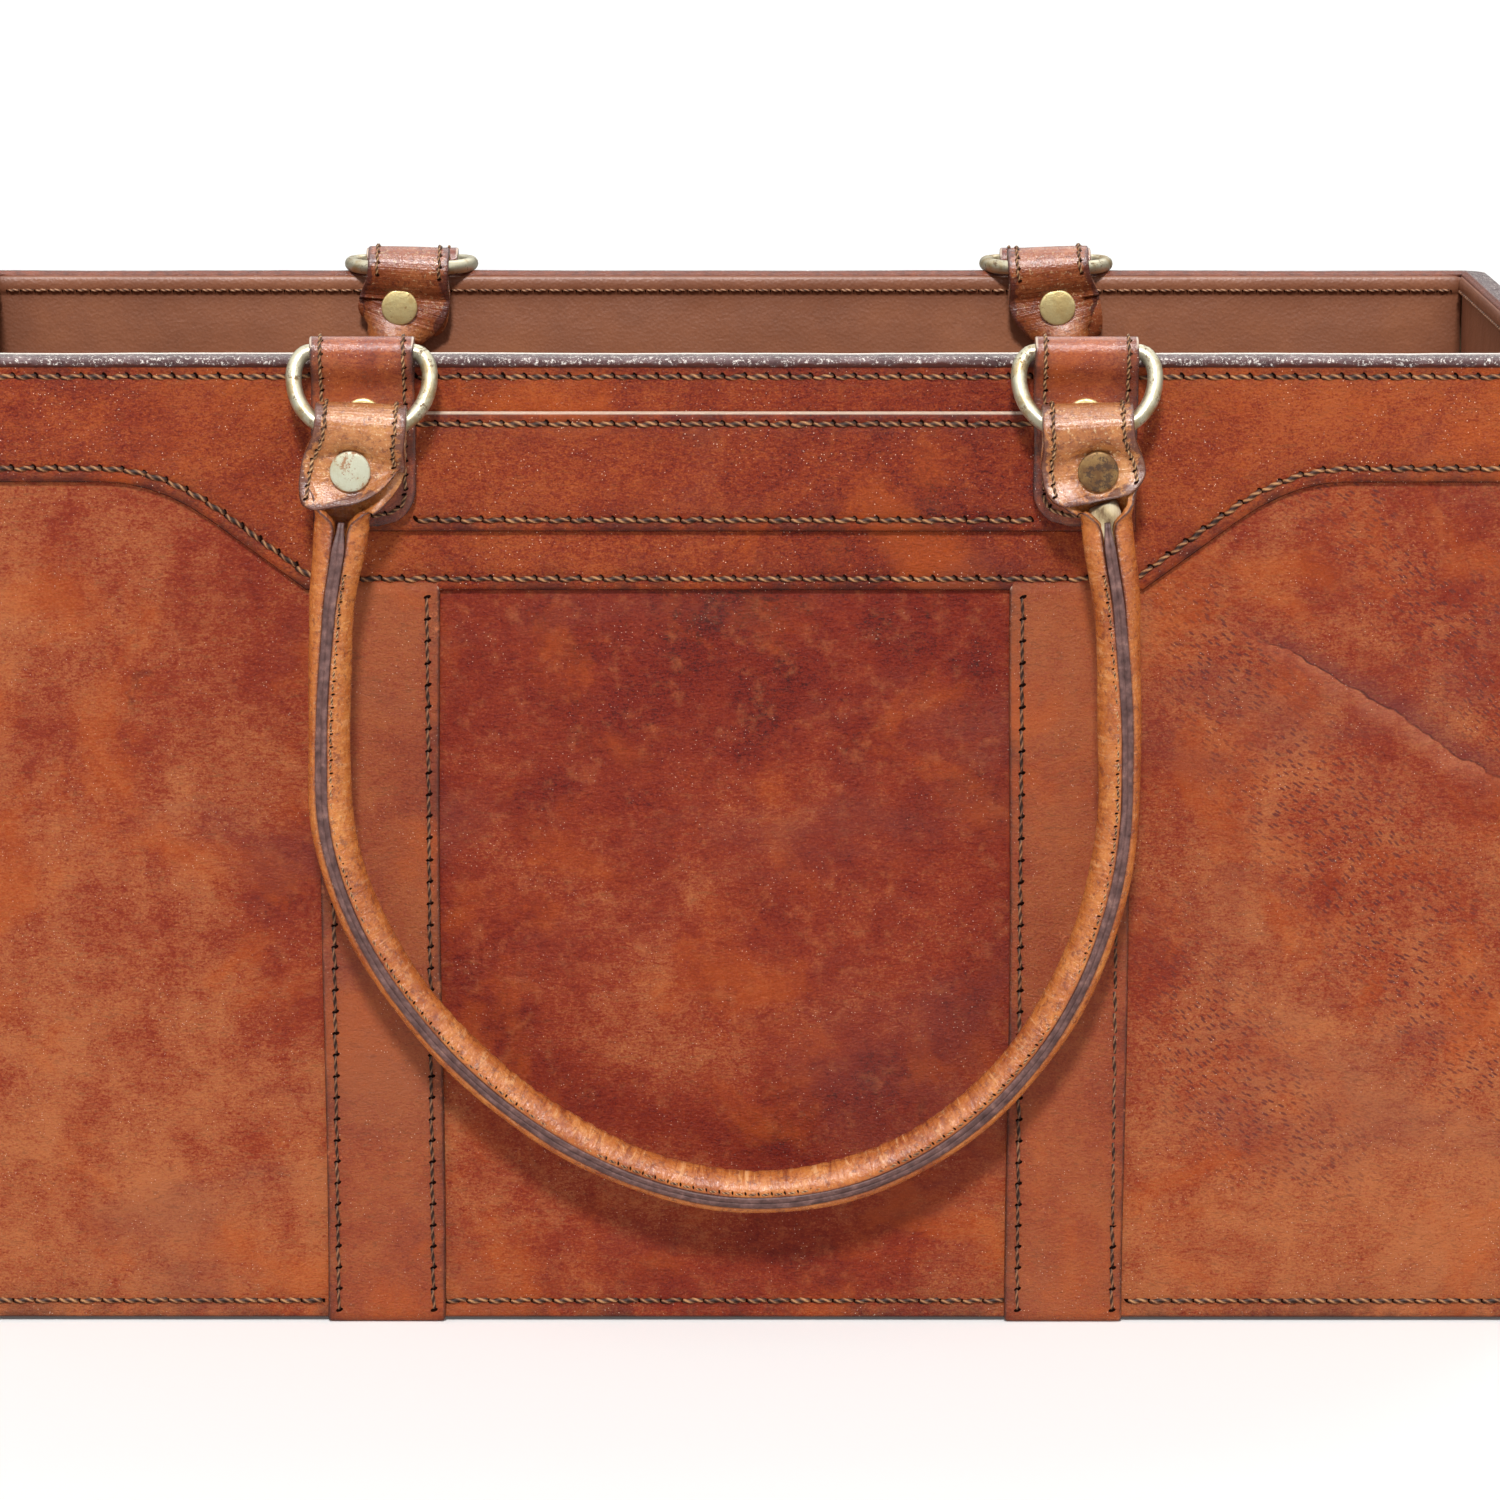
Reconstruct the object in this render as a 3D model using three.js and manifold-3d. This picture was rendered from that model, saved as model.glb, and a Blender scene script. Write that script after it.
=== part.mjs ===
// A rigid, open-topped leather knitting bag with two rolled handles on D-rings.
// Millimetres. X runs along the bag, its front faces -Y, and +Z is up.
// The origin is the bottom centre of the whole bag's box, handles included.
import * as THREE from "three";
import { mergeVertices } from "three/addons/utils/BufferGeometryUtils.js";
import Module from "manifold-3d";

const wasm = await Module();
wasm.setup();

// Box of the bag
const LENGTH = 420;
const DEPTH = 208;
const RIM = 246; // height of the rim above the ground
const BODY_Y = 5; // the body's middle plane, which puts the whole bag's box about Y = 0

// Leather and board
const PANEL = 2.2;
const BOARD = 1.5;
const BASE_BOARD = 3;
const LINING = 1.2;
const OVERLAY = 1.9; // yokes, bands and straps sewn on the outside
const GLUE = 0.1; // glue line between two layers
const BUTT = 0.3; // gap where two edges meet
const GROUND_STEP = OVERLAY + GLUE; // the straps under the base lift the panels this high
const BOARD_BELOW_RIM = 2;

// Yoke round the top
const YOKE_DIP = 188; // lower edge in the middle of the front and back
const YOKE_EDGE = 215; // lower edge towards the corners
const YOKE_DIP_HALF = 104;
const YOKE_BEND = { x: 127, z: 205 };
const YOKE_CONTROL_X = 140.5;
const YOKE_LEVEL_X = 154;

// Band between the handles
const BAND_HALF = 102;
const BAND_LOW = 203;
const BAND_HIGH = 233;

// Straps that wrap under the base
const STRAP_X = 86;
const STRAP_WIDTH = 30;
const STRAP_CORNER = 3;

// Tabs that hold the D-rings
const RING_X = 89;
const TAB_WIDTH = 25.6;
const TAB_LEATHER = 1.5;
const TAB_LOW = 205;
const TAB_CORNER = 9;
const TAB_JOIN = 237.5; // the two leaves of a tab lie together below this
const BAR_ABOVE_RIM = 2.4;

// D-rings of round wire
const WIRE = 2;
const WIRE_CLEARANCE = 0.3;
const BAR_HALF = 12.6;
const RING_HALF = 16.75;
const RING_WIDEST = 6.3; // how far below its bar a ring is widest
const RING_DROP = 21.3; // bar to bottom, centre to centre
const RING_ROUNDNESS = 0.6;
const LOOP_DROP = 19.3; // bar to the axis that a handle turns about
const FRONT_RING_TILT = 24; // degrees from hanging straight down
const BACK_RING_TILT = 90;

// Rivets
const POST = 2;
const POST_HOLE = 2.3;
const CAP = 5;
const CAP_HEIGHT = 1.4;
const INNER_CAP = 4;
const INNER_CAP_HEIGHT = 0.8;
const TAB_RIVET_Z = 232;
const END_RIVET = { x: 91.6, z: -10.7 }; // on a handle end, from the loops' axis

// Handles, measured from the axis through their two loops
const LOOP_HOLE = 4.2;
const END_LEATHER = 1.8;
const LOOP_HALF_WIDTH = 11.3;
const FLAP_END = -18;
const TONGUE_END = -31;
const COVER_RADIUS = 5.4;
const BORE_RADIUS = 3.8;
const CORE_RADIUS = 3.5;
const MOUTH = { x: 95, z: -19.5 };
const LEG = { x: 97.7, z: -89.8 };
const BOWL = { x: 8, z: -192.8 };

// Fineness of the round shapes
const WIRE_SIDES = 8;
const RING_STEPS = 36;
const COVER_HALF_SIDES = 6;
const CORE_HALF_SIDES = 4;
const HANDLE_STEPS = 30;
const ROUND_SIDES = 14;
const CURVE_STEPS = 5;

// Planes counted outwards from the middle of the bag
const HALF_LENGTH = LENGTH / 2;
const HALF_DEPTH = DEPTH / 2;
const BOARD_FACE = PANEL + GLUE;
const LINING_FACE = BOARD_FACE + BOARD + GLUE;
const INNER_FACE = LINING_FACE + LINING;
const YOKE_FACE = HALF_DEPTH + GLUE;
const BAND_FACE = YOKE_FACE + OVERLAY + GLUE;
const TAB_FACE = BAND_FACE + OVERLAY + GLUE;
const TAB_BEND = WIRE + WIRE_CLEARANCE + TAB_LEATHER;
const BAR_Y = TAB_FACE + TAB_BEND;
const BAR_Z = RIM + BAR_ABOVE_RIM;
const BASE_TOP = GROUND_STEP + PANEL + GLUE + BASE_BOARD + GLUE + LINING;

const LOOK = {
  panel: { color: 0xa8512a, roughness: 0.45, metalness: 0 },
  trim: { color: 0x97442a, roughness: 0.42, metalness: 0 },
  tab: { color: 0x7a3424, roughness: 0.38, metalness: 0 },
  handle: { color: 0xbd7542, roughness: 0.5, metalness: 0 },
  lining: { color: 0x956048, roughness: 0.5, metalness: 0 },
  board: { color: 0x9b8a70, roughness: 0.9, metalness: 0 },
  rope: { color: 0xd8cba8, roughness: 0.95, metalness: 0 },
  nickel: { color: 0xcfc7ae, roughness: 0.3, metalness: 1 },
  brass: { color: 0xc09a4a, roughness: 0.32, metalness: 1 },
};

function toSolid(geometry) {
  const bare = geometry.clone();
  bare.deleteAttribute("normal");
  bare.deleteAttribute("uv");
  const merged = mergeVertices(bare, 1e-4);
  const mesh = new wasm.Mesh({
    numProp: 3,
    vertProperties: new Float32Array(merged.attributes.position.array),
    triVerts: new Uint32Array(merged.index.array),
  });
  return new wasm.Manifold(mesh);
}

function toGeometry(solid) {
  const mesh = solid.getMesh();
  const geometry = new THREE.BufferGeometry();
  geometry.setAttribute("position", new THREE.BufferAttribute(mesh.vertProperties, 3));
  geometry.setIndex(new THREE.BufferAttribute(mesh.triVerts, 1));
  geometry.computeVertexNormals();
  return geometry;
}

function piece(name, geometry, look) {
  const mesh = new THREE.Mesh(geometry, new THREE.MeshStandardMaterial(look));
  mesh.name = name;
  return mesh;
}

// A block between two opposite corners.
function block(low, high) {
  const size = new THREE.Vector3().subVectors(high, low);
  const geometry = new THREE.BoxGeometry(size.x, size.y, size.z);
  const middle = new THREE.Vector3().addVectors(low, high).multiplyScalar(0.5);
  geometry.translate(middle.x, middle.y, middle.z);
  return geometry;
}

function blockAt(x0, x1, y0, y1, z0, z1) {
  return block(new THREE.Vector3(x0, y0, z0), new THREE.Vector3(x1, y1, z1));
}

// A plate whose outline is drawn in X and Z, from y = back towards -Y.
function plate(outline, back, thickness) {
  const options = { depth: thickness, bevelEnabled: false, curveSegments: CURVE_STEPS };
  const geometry = new THREE.ExtrudeGeometry(outline, options);
  geometry.rotateX(Math.PI / 2);
  geometry.translate(0, back, 0);
  return geometry;
}

// A bar whose section is drawn in Y and Z, centred on x.
function bar(section, x, width) {
  const options = { depth: width, bevelEnabled: false, curveSegments: CURVE_STEPS };
  const geometry = new THREE.ExtrudeGeometry(section, options);
  const along = new THREE.Vector3(1, 0, 0);
  const across = new THREE.Vector3(0, 1, 0);
  const up = new THREE.Vector3(0, 0, 1);
  geometry.applyMatrix4(new THREE.Matrix4().makeBasis(across, up, along));
  geometry.translate(x - width / 2, 0, 0);
  return geometry;
}

function rectangle(x0, x1, z0, z1) {
  const shape = new THREE.Shape();
  shape.moveTo(x0, z0);
  shape.lineTo(x1, z0);
  shape.lineTo(x1, z1);
  shape.lineTo(x0, z1);
  shape.closePath();
  return shape;
}

// A geometry with round holes along Y at the given places.
function drilled(geometry, places) {
  let body = toSolid(geometry);
  geometry.computeBoundingBox();
  const box = geometry.boundingBox;
  const depth = box.max.y - box.min.y + 2;
  for (const { x, z } of places) {
    const hole = new THREE.CylinderGeometry(POST_HOLE, POST_HOLE, depth, ROUND_SIDES);
    hole.translate(x, (box.min.y + box.max.y) / 2, z);
    body = body.subtract(toSolid(hole));
  }
  return toGeometry(body);
}

const tabRivetPlaces = [-RING_X, RING_X].map((x) => ({ x, z: TAB_RIVET_Z }));

function yokeOutline() {
  const half = HALF_LENGTH + GLUE + OVERLAY;
  const shape = new THREE.Shape();
  shape.moveTo(-half, RIM);
  shape.lineTo(-half, YOKE_EDGE);
  shape.lineTo(-YOKE_LEVEL_X, YOKE_EDGE);
  shape.quadraticCurveTo(-YOKE_CONTROL_X, YOKE_EDGE, -YOKE_BEND.x, YOKE_BEND.z);
  shape.lineTo(-YOKE_DIP_HALF, YOKE_DIP);
  shape.lineTo(YOKE_DIP_HALF, YOKE_DIP);
  shape.lineTo(YOKE_BEND.x, YOKE_BEND.z);
  shape.quadraticCurveTo(YOKE_CONTROL_X, YOKE_EDGE, YOKE_LEVEL_X, YOKE_EDGE);
  shape.lineTo(half, YOKE_EDGE);
  shape.lineTo(half, RIM);
  shape.closePath();
  return shape;
}

// Side view of a tab: two leaves that lie together, and open round the ring's bar at the top.
function tabSection() {
  const outside = -TAB_FACE;
  const leaves = outside - 2 * TAB_LEATHER;
  const section = new THREE.Shape();
  section.moveTo(outside, TAB_LOW);
  section.lineTo(outside, BAR_Z);
  section.absarc(-BAR_Y, BAR_Z, TAB_BEND, 0, Math.PI, false);
  section.bezierCurveTo(-BAR_Y - TAB_BEND, BAR_Z - 5, leaves, BAR_Z - 6, leaves, TAB_JOIN);
  section.lineTo(leaves, TAB_LOW);
  section.closePath();
  const hole = new THREE.Path();
  const radius = TAB_BEND - TAB_LEATHER;
  const inside = outside - TAB_LEATHER;
  hole.absarc(-BAR_Y, BAR_Z, radius, 0, Math.PI, false);
  hole.bezierCurveTo(-BAR_Y - radius, BAR_Z - 4, inside - 0.5, BAR_Z - 5, inside, TAB_JOIN + 1.5);
  hole.closePath();
  section.holes.push(hole);
  return section;
}

function tabOutline(x) {
  const half = TAB_WIDTH / 2;
  const shape = new THREE.Shape();
  shape.moveTo(x - half, BAR_Z + TAB_BEND + 1);
  shape.lineTo(x - half, TAB_LOW + TAB_CORNER);
  shape.absarc(x - half + TAB_CORNER, TAB_LOW + TAB_CORNER, TAB_CORNER, Math.PI, 1.5 * Math.PI, false);
  shape.absarc(x + half - TAB_CORNER, TAB_LOW + TAB_CORNER, TAB_CORNER, 1.5 * Math.PI, 2 * Math.PI, false);
  shape.lineTo(x + half, BAR_Z + TAB_BEND + 1);
  shape.closePath();
  return shape;
}

function tab(x) {
  const folded = toSolid(bar(tabSection(), x, TAB_WIDTH + 2));
  const cutter = toSolid(plate(tabOutline(x), 0, 2 * BAR_Y));
  return drilled(toGeometry(folded.intersect(cutter)), [{ x, z: TAB_RIVET_Z }]);
}

// A rivet with a domed cap at y = outer, facing -Y, and a smaller domed cap at y = inner.
function rivet(outer, inner, innerCap, innerHeight) {
  const profile = [
    [0, outer - CAP_HEIGHT],
    [CAP * 0.5, outer - CAP_HEIGHT * 0.88],
    [CAP * 0.86, outer - CAP_HEIGHT * 0.5],
    [CAP, outer - CAP_HEIGHT * 0.05],
    [CAP, outer - GLUE / 2],
    [POST, outer - GLUE / 2],
    [POST, inner + GLUE / 2],
    [innerCap, inner + GLUE / 2],
    [innerCap * 0.86, inner + innerHeight * 0.6],
    [0, inner + innerHeight],
  ];
  const points = profile.map(([radius, y]) => new THREE.Vector2(radius, y));
  return new THREE.LatheGeometry(points, ROUND_SIDES);
}

// Outline of a D-ring's wire in X and Z: a straight bar, two tight corners and a round bottom.
function ringPath() {
  const path = new THREE.Path();
  const corner = RING_HALF - BAR_HALF;
  const bottom = RING_DROP - RING_WIDEST;
  const round = RING_ROUNDNESS;
  path.moveTo(-BAR_HALF, 0);
  path.lineTo(BAR_HALF, 0);
  path.absellipse(BAR_HALF, -RING_WIDEST, corner, RING_WIDEST, Math.PI / 2, 0, true);
  path.bezierCurveTo(
    RING_HALF, -RING_WIDEST - round * bottom,
    round * RING_HALF, -RING_DROP,
    0, -RING_DROP,
  );
  path.bezierCurveTo(
    -round * RING_HALF, -RING_DROP,
    -RING_HALF, -RING_WIDEST - round * bottom,
    -RING_HALF, -RING_WIDEST,
  );
  path.absellipse(-BAR_HALF, -RING_WIDEST, corner, RING_WIDEST, Math.PI, Math.PI / 2, true);
  return path;
}

// A flat path in X and Z as a curve in space.
class UprightCurve extends THREE.Curve {
  constructor(path) {
    super();
    this.path = path;
  }

  getPoint(t) {
    const point = this.path.getPointAt(t);
    return new THREE.Vector3(point.x, 0, point.y);
  }
}

function ring() {
  return new THREE.TubeGeometry(new UprightCurve(ringPath()), RING_STEPS, WIRE, WIRE_SIDES, true);
}

// The middle line of a handle, from its left mouth round the bowl to its right mouth.
function handleLine(above) {
  const line = new THREE.CurvePath();
  const at = (x, z) => new THREE.Vector3(x, 0, z);
  const bend = (a, b, c, d) => line.add(new THREE.CubicBezierCurve3(a, b, c, d));
  line.add(new THREE.LineCurve3(at(-MOUTH.x, MOUTH.z + above), at(-MOUTH.x, MOUTH.z)));
  bend(at(-MOUTH.x, MOUTH.z), at(-MOUTH.x - 1.6, -36), at(-LEG.x, -62), at(-LEG.x, LEG.z));
  bend(at(-LEG.x, LEG.z), at(-LEG.x, -138.8), at(-42, BOWL.z), at(BOWL.x, BOWL.z));
  bend(at(BOWL.x, BOWL.z), at(60, BOWL.z), at(LEG.x, -144.8), at(LEG.x, LEG.z));
  bend(at(LEG.x, LEG.z), at(LEG.x, -62), at(MOUTH.x + 1.6, -36), at(MOUTH.x, MOUTH.z));
  line.add(new THREE.LineCurve3(at(MOUTH.x, MOUTH.z), at(MOUTH.x, MOUTH.z + above)));
  return line;
}

// A round rod along the handle's middle line, with halfSides facets on each half of its section.
function rod(radius, halfSides, above) {
  const circle = new THREE.Shape();
  circle.absarc(0, 0, radius, 0, 2 * Math.PI, false);
  const options = {
    steps: HANDLE_STEPS,
    curveSegments: halfSides,
    extrudePath: handleLine(above),
  };
  return new THREE.ExtrudeGeometry(circle, options);
}

// Side view of a handle end: a loop round the ring, a short flap outside and a longer tongue inside.
function endSection() {
  const outer = LOOP_HOLE + END_LEATHER;
  const neck = Math.asin(END_LEATHER / outer);
  const section = new THREE.Shape();
  section.moveTo(END_LEATHER, TONGUE_END);
  section.absarc(0, 0, outer, neck - Math.PI / 2, 1.5 * Math.PI - neck, false);
  section.lineTo(-END_LEATHER, FLAP_END);
  section.lineTo(0, FLAP_END);
  section.lineTo(0, TONGUE_END);
  section.closePath();
  const hole = new THREE.Path();
  hole.absarc(0, 0, LOOP_HOLE, 0, 2 * Math.PI, false);
  section.holes.push(hole);
  return section;
}

// Front view of a handle end: straight at the loop, fuller at the rivet, then drawn in to the tube.
function endOutline(side) {
  const at = (x) => side * x;
  const inner = RING_X - LOOP_HALF_WIDTH;
  const outer = RING_X + LOOP_HALF_WIDTH;
  const tubeInner = MOUTH.x - COVER_RADIUS + 0.8;
  const tubeOuter = MOUTH.x + COVER_RADIUS;
  const shape = new THREE.Shape();
  shape.moveTo(at(inner), LOOP_HOLE + END_LEATHER + 1);
  shape.lineTo(at(inner), -5);
  shape.bezierCurveTo(at(inner), -20, at(tubeInner), -20, at(tubeInner), TONGUE_END - 1);
  shape.lineTo(at(tubeOuter), TONGUE_END - 1);
  shape.bezierCurveTo(at(tubeOuter), -24, at(outer + 3.7), -22, at(outer + 3.7), -12);
  shape.bezierCurveTo(at(outer + 3.7), -8, at(outer), -6, at(outer), -1);
  shape.lineTo(at(outer), LOOP_HOLE + END_LEATHER + 1);
  shape.closePath();
  return shape;
}

function handleEnd(side) {
  const folded = toSolid(bar(endSection(), side * RING_X, 50));
  const cutter = toSolid(plate(endOutline(side), 20, 40));
  return folded.intersect(cutter);
}

function handleCover() {
  const tube = toSolid(rod(COVER_RADIUS, COVER_HALF_SIDES, 0.5));
  const bore = toSolid(rod(BORE_RADIUS, COVER_HALF_SIDES, 3));
  const whole = tube.add(handleEnd(-1)).add(handleEnd(1)).subtract(bore);
  const places = [-1, 1].map((side) => ({ x: side * END_RIVET.x, z: END_RIVET.z }));
  return drilled(toGeometry(whole), places);
}

// One long wall with everything sewn to it, drawn as the front. The back is the same, turned round.
function longWall(face, sideOfMinusX, sideOfPlusX) {
  const wall = new THREE.Group();
  const { panel, trim, board, lining } = LOOK;
  const add = (name, geometry, look) => wall.add(piece(`${face}_${name}`, geometry, look));
  const panelShape = rectangle(-HALF_LENGTH, HALF_LENGTH, GROUND_STEP, RIM);
  const boardHalf = HALF_LENGTH - BOARD_FACE;
  const boardShape = rectangle(
    -boardHalf, boardHalf,
    GROUND_STEP + PANEL + GLUE, RIM - BOARD_BELOW_RIM,
  );
  const liningHalf = HALF_LENGTH - LINING_FACE;
  const liningShape = rectangle(-liningHalf, liningHalf, BASE_TOP + GLUE, RIM);
  const bandShape = rectangle(-BAND_HALF, BAND_HALF, BAND_LOW, BAND_HIGH);
  const sewn = (shape, back, thickness) => drilled(plate(shape, back, thickness), tabRivetPlaces);
  add("panel", sewn(panelShape, PANEL - HALF_DEPTH, PANEL), panel);
  add("stiffener", sewn(boardShape, BOARD_FACE + BOARD - HALF_DEPTH, BOARD), board);
  add("lining", sewn(liningShape, INNER_FACE - HALF_DEPTH, LINING), lining);
  add("yoke", sewn(yokeOutline(), -YOKE_FACE, OVERLAY), trim);
  add("band", sewn(bandShape, -BAND_FACE, OVERLAY), trim);
  for (const [x, side] of [[-RING_X, sideOfMinusX], [RING_X, sideOfPlusX]]) {
    const leather = -TAB_FACE - 2 * TAB_LEATHER;
    const fastener = rivet(leather, INNER_FACE - HALF_DEPTH, INNER_CAP, INNER_CAP_HEIGHT);
    fastener.translate(x, 0, TAB_RIVET_Z);
    add(`${side}_ring_tab`, tab(x), LOOK.tab);
    add(`${side}_tab_rivet`, fastener, LOOK.brass);
  }
  return wall;
}

function shortWall(side, sign) {
  const wall = new THREE.Group();
  const add = (name, geometry, look) => wall.add(piece(`${side}_side_${name}`, geometry, look));
  const upright = (far, near, halfWidth, low, high) => {
    const [x0, x1] = sign < 0 ? [-far, -near] : [near, far];
    return blockAt(x0, x1, -halfWidth, halfWidth, low, high);
  };
  const x = HALF_LENGTH;
  const panel = upright(x, x - PANEL, HALF_DEPTH - BOARD_FACE, GROUND_STEP, RIM);
  const boardLow = GROUND_STEP + PANEL + GLUE;
  const boardInner = x - BOARD_FACE - BOARD;
  const boardDepth = HALF_DEPTH - LINING_FACE;
  const board = upright(x - BOARD_FACE, boardInner, boardDepth, boardLow, RIM - BOARD_BELOW_RIM);
  const liningDepth = HALF_DEPTH - INNER_FACE - GLUE;
  const lining = upright(x - LINING_FACE, x - INNER_FACE, liningDepth, BASE_TOP + GLUE, RIM);
  const yoke = upright(x + GLUE + OVERLAY, x + GLUE, HALF_DEPTH, YOKE_EDGE, RIM);
  add("panel", panel, LOOK.panel);
  add("stiffener", board, LOOK.board);
  add("lining", lining, LOOK.lining);
  add("yoke", yoke, LOOK.trim);
  return wall;
}

function base() {
  const group = new THREE.Group();
  const layer = (name, inset, low, thickness, look) => {
    const x = HALF_LENGTH - inset;
    const y = HALF_DEPTH - inset;
    group.add(piece(name, blockAt(-x, x, -y, y, low, low + thickness), look));
  };
  const boardLow = GROUND_STEP + PANEL + GLUE;
  layer("base_panel", BOARD_FACE, GROUND_STEP, PANEL, LOOK.panel);
  layer("base_stiffener", LINING_FACE, boardLow, BASE_BOARD, LOOK.board);
  layer("base_lining", LINING_FACE, boardLow + BASE_BOARD + GLUE, LINING, LOOK.lining);
  return group;
}

// A strap that runs down the front, under the base and up the back.
function wrapStrap(x) {
  const outer = YOKE_FACE + OVERLAY;
  const top = YOKE_DIP - BUTT;
  const section = new THREE.Shape();
  section.moveTo(-outer, top);
  section.absarc(-outer + STRAP_CORNER, STRAP_CORNER, STRAP_CORNER, Math.PI, 1.5 * Math.PI, false);
  section.absarc(outer - STRAP_CORNER, STRAP_CORNER, STRAP_CORNER, 1.5 * Math.PI, 2 * Math.PI, false);
  section.lineTo(outer, top);
  section.lineTo(YOKE_FACE, top);
  section.lineTo(YOKE_FACE, OVERLAY);
  section.lineTo(-YOKE_FACE, OVERLAY);
  section.lineTo(-YOKE_FACE, top);
  section.closePath();
  return bar(section, x, STRAP_WIDTH);
}

// A D-ring hung from its bar, turned about the bar by tilt degrees towards -Y.
function hungRing(name, x, y, tilt) {
  const mesh = piece(name, ring(), LOOK.nickel);
  mesh.position.set(x, y, BAR_Z);
  mesh.rotation.x = -THREE.MathUtils.degToRad(tilt);
  return mesh;
}

function handle(face, sideOfMinusX, sideOfPlusX) {
  const group = new THREE.Group();
  group.add(piece(`${face}_handle_cover`, handleCover(), LOOK.handle));
  group.add(piece(`${face}_handle_core`, rod(CORE_RADIUS, CORE_HALF_SIDES, 0), LOOK.rope));
  for (const [x, side] of [[-END_RIVET.x, sideOfMinusX], [END_RIVET.x, sideOfPlusX]]) {
    const fastener = rivet(-END_LEATHER, END_LEATHER, CAP, CAP_HEIGHT);
    fastener.translate(x, 0, END_RIVET.z);
    group.add(piece(`${face}_${side}_handle_rivet`, fastener, LOOK.brass));
  }
  return group;
}

const body = new THREE.Group();
const backWall = longWall("back", "right", "left");
backWall.rotation.z = Math.PI;
body.add(longWall("front", "left", "right"), backWall);
body.add(shortWall("left", -1), shortWall("right", 1), base());
body.add(piece("left_wrap_strap", wrapStrap(-STRAP_X), LOOK.trim));
body.add(piece("right_wrap_strap", wrapStrap(STRAP_X), LOOK.trim));

for (const [side, x] of [["left", -RING_X], ["right", RING_X]]) {
  body.add(hungRing(`front_${side}_ring`, x, -BAR_Y, FRONT_RING_TILT));
  body.add(hungRing(`back_${side}_ring`, x, BAR_Y, BACK_RING_TILT));
}

const frontHandle = handle("front", "left", "right");
const tilt = THREE.MathUtils.degToRad(FRONT_RING_TILT);
frontHandle.position.y = -BAR_Y - LOOP_DROP * Math.sin(tilt);
frontHandle.position.z = BAR_Z - LOOP_DROP * Math.cos(tilt);

const backHandle = handle("back", "right", "left");
backHandle.position.set(0, BAR_Y - LOOP_DROP, BAR_Z);
backHandle.rotation.z = Math.PI;
body.add(frontHandle, backHandle);

body.position.y = BODY_Y;
const bag = new THREE.Group();
bag.add(body);

export default bag;
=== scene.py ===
# A rigid leather knitting bag: fine leather sheets, waxed seams, rings, rivets and rolled handles.
# Lengths are in millimetres until mesh() turns them into metres.
import math

import bpy
import numpy as np
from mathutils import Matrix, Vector


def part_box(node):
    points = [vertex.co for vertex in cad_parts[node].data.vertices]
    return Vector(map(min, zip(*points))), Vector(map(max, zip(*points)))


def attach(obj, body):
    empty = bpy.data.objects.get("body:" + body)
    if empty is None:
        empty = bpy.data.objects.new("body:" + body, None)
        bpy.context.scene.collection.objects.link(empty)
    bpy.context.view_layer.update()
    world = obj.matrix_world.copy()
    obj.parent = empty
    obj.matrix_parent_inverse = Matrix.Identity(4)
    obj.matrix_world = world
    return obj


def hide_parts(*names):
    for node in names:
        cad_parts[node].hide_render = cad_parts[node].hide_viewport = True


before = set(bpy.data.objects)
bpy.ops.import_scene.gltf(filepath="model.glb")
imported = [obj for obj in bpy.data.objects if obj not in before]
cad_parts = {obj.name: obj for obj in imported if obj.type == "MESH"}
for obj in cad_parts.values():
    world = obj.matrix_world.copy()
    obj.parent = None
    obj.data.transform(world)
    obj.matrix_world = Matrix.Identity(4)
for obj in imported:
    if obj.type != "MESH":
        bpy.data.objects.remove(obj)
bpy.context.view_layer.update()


def box(node):
    """A node's lowest and highest corners."""
    return [np.array(corner) * 1000 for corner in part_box(node)]


# Which way each long wall faces along Y, and which way each hand lies along X
SIGNS = {"front": -1, "back": 1}
HANDS = {"left": -1, "right": 1}
SIDES = ("front", "back", "left_side", "right_side")

# Planes of the bag, read from the frame
panel_low, panel_high = box("front_panel")
base_low, base_high = box("base_panel")
yoke_low, yoke_high = box("front_yoke")
band_low, band_high = box("front_band")
strap_low, strap_high = box("right_wrap_strap")
tab_low, tab_high = box("front_left_ring_tab")
side_low, side_high = box("right_side_panel")
side_yoke_low, side_yoke_high = box("right_side_yoke")
MIDDLE_Y = (base_low[1] + base_high[1]) / 2
RIM = panel_high[2]
FLOOR = panel_low[2]
HALF_LENGTH = panel_high[0]
HALF_DEPTH = MIDDLE_Y - panel_low[1]
HALF_SIDE = (side_high[1] - side_low[1]) / 2
YOKE_FACE = MIDDLE_Y - yoke_low[1]
BAND_FACE = MIDDLE_Y - band_low[1]
INNER_FACE = MIDDLE_Y - box("front_lining")[1][1]
INNER_END = -box("left_side_lining")[1][0]
STRAP_X = (strap_low[0] + strap_high[0]) / 2
STRAP_HALF = (strap_high[0] - strap_low[0]) / 2
TAB_X = -(tab_low[0] + tab_high[0]) / 2
TAB_HALF = (tab_high[0] - tab_low[0]) / 2
TAB_BEND = 3.8  # outer radius of a tab's fold round the ring's bar
BAR_Z = tab_high[2] - TAB_BEND
BAR_OUT = MIDDLE_Y - tab_low[1] - TAB_BEND
GLUE = 0.05  # gap behind a sheet sewn on a wall
RNG = np.random.default_rng(11)


# ---------------------------------------------------------------- lines and curves
def ease(x, a, b):
    """A smooth rise from 0 at a to 1 at b."""
    t = np.clip((np.asarray(x, float) - a) / (b - a), 0, 1)
    return t * t * (3 - 2 * t)


def hump(x, middle, width):
    return np.exp(-(((x - middle) / width) ** 2))


def unit(v):
    return v / np.maximum(np.linalg.norm(v, axis=-1, keepdims=True), 1e-9)


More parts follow.
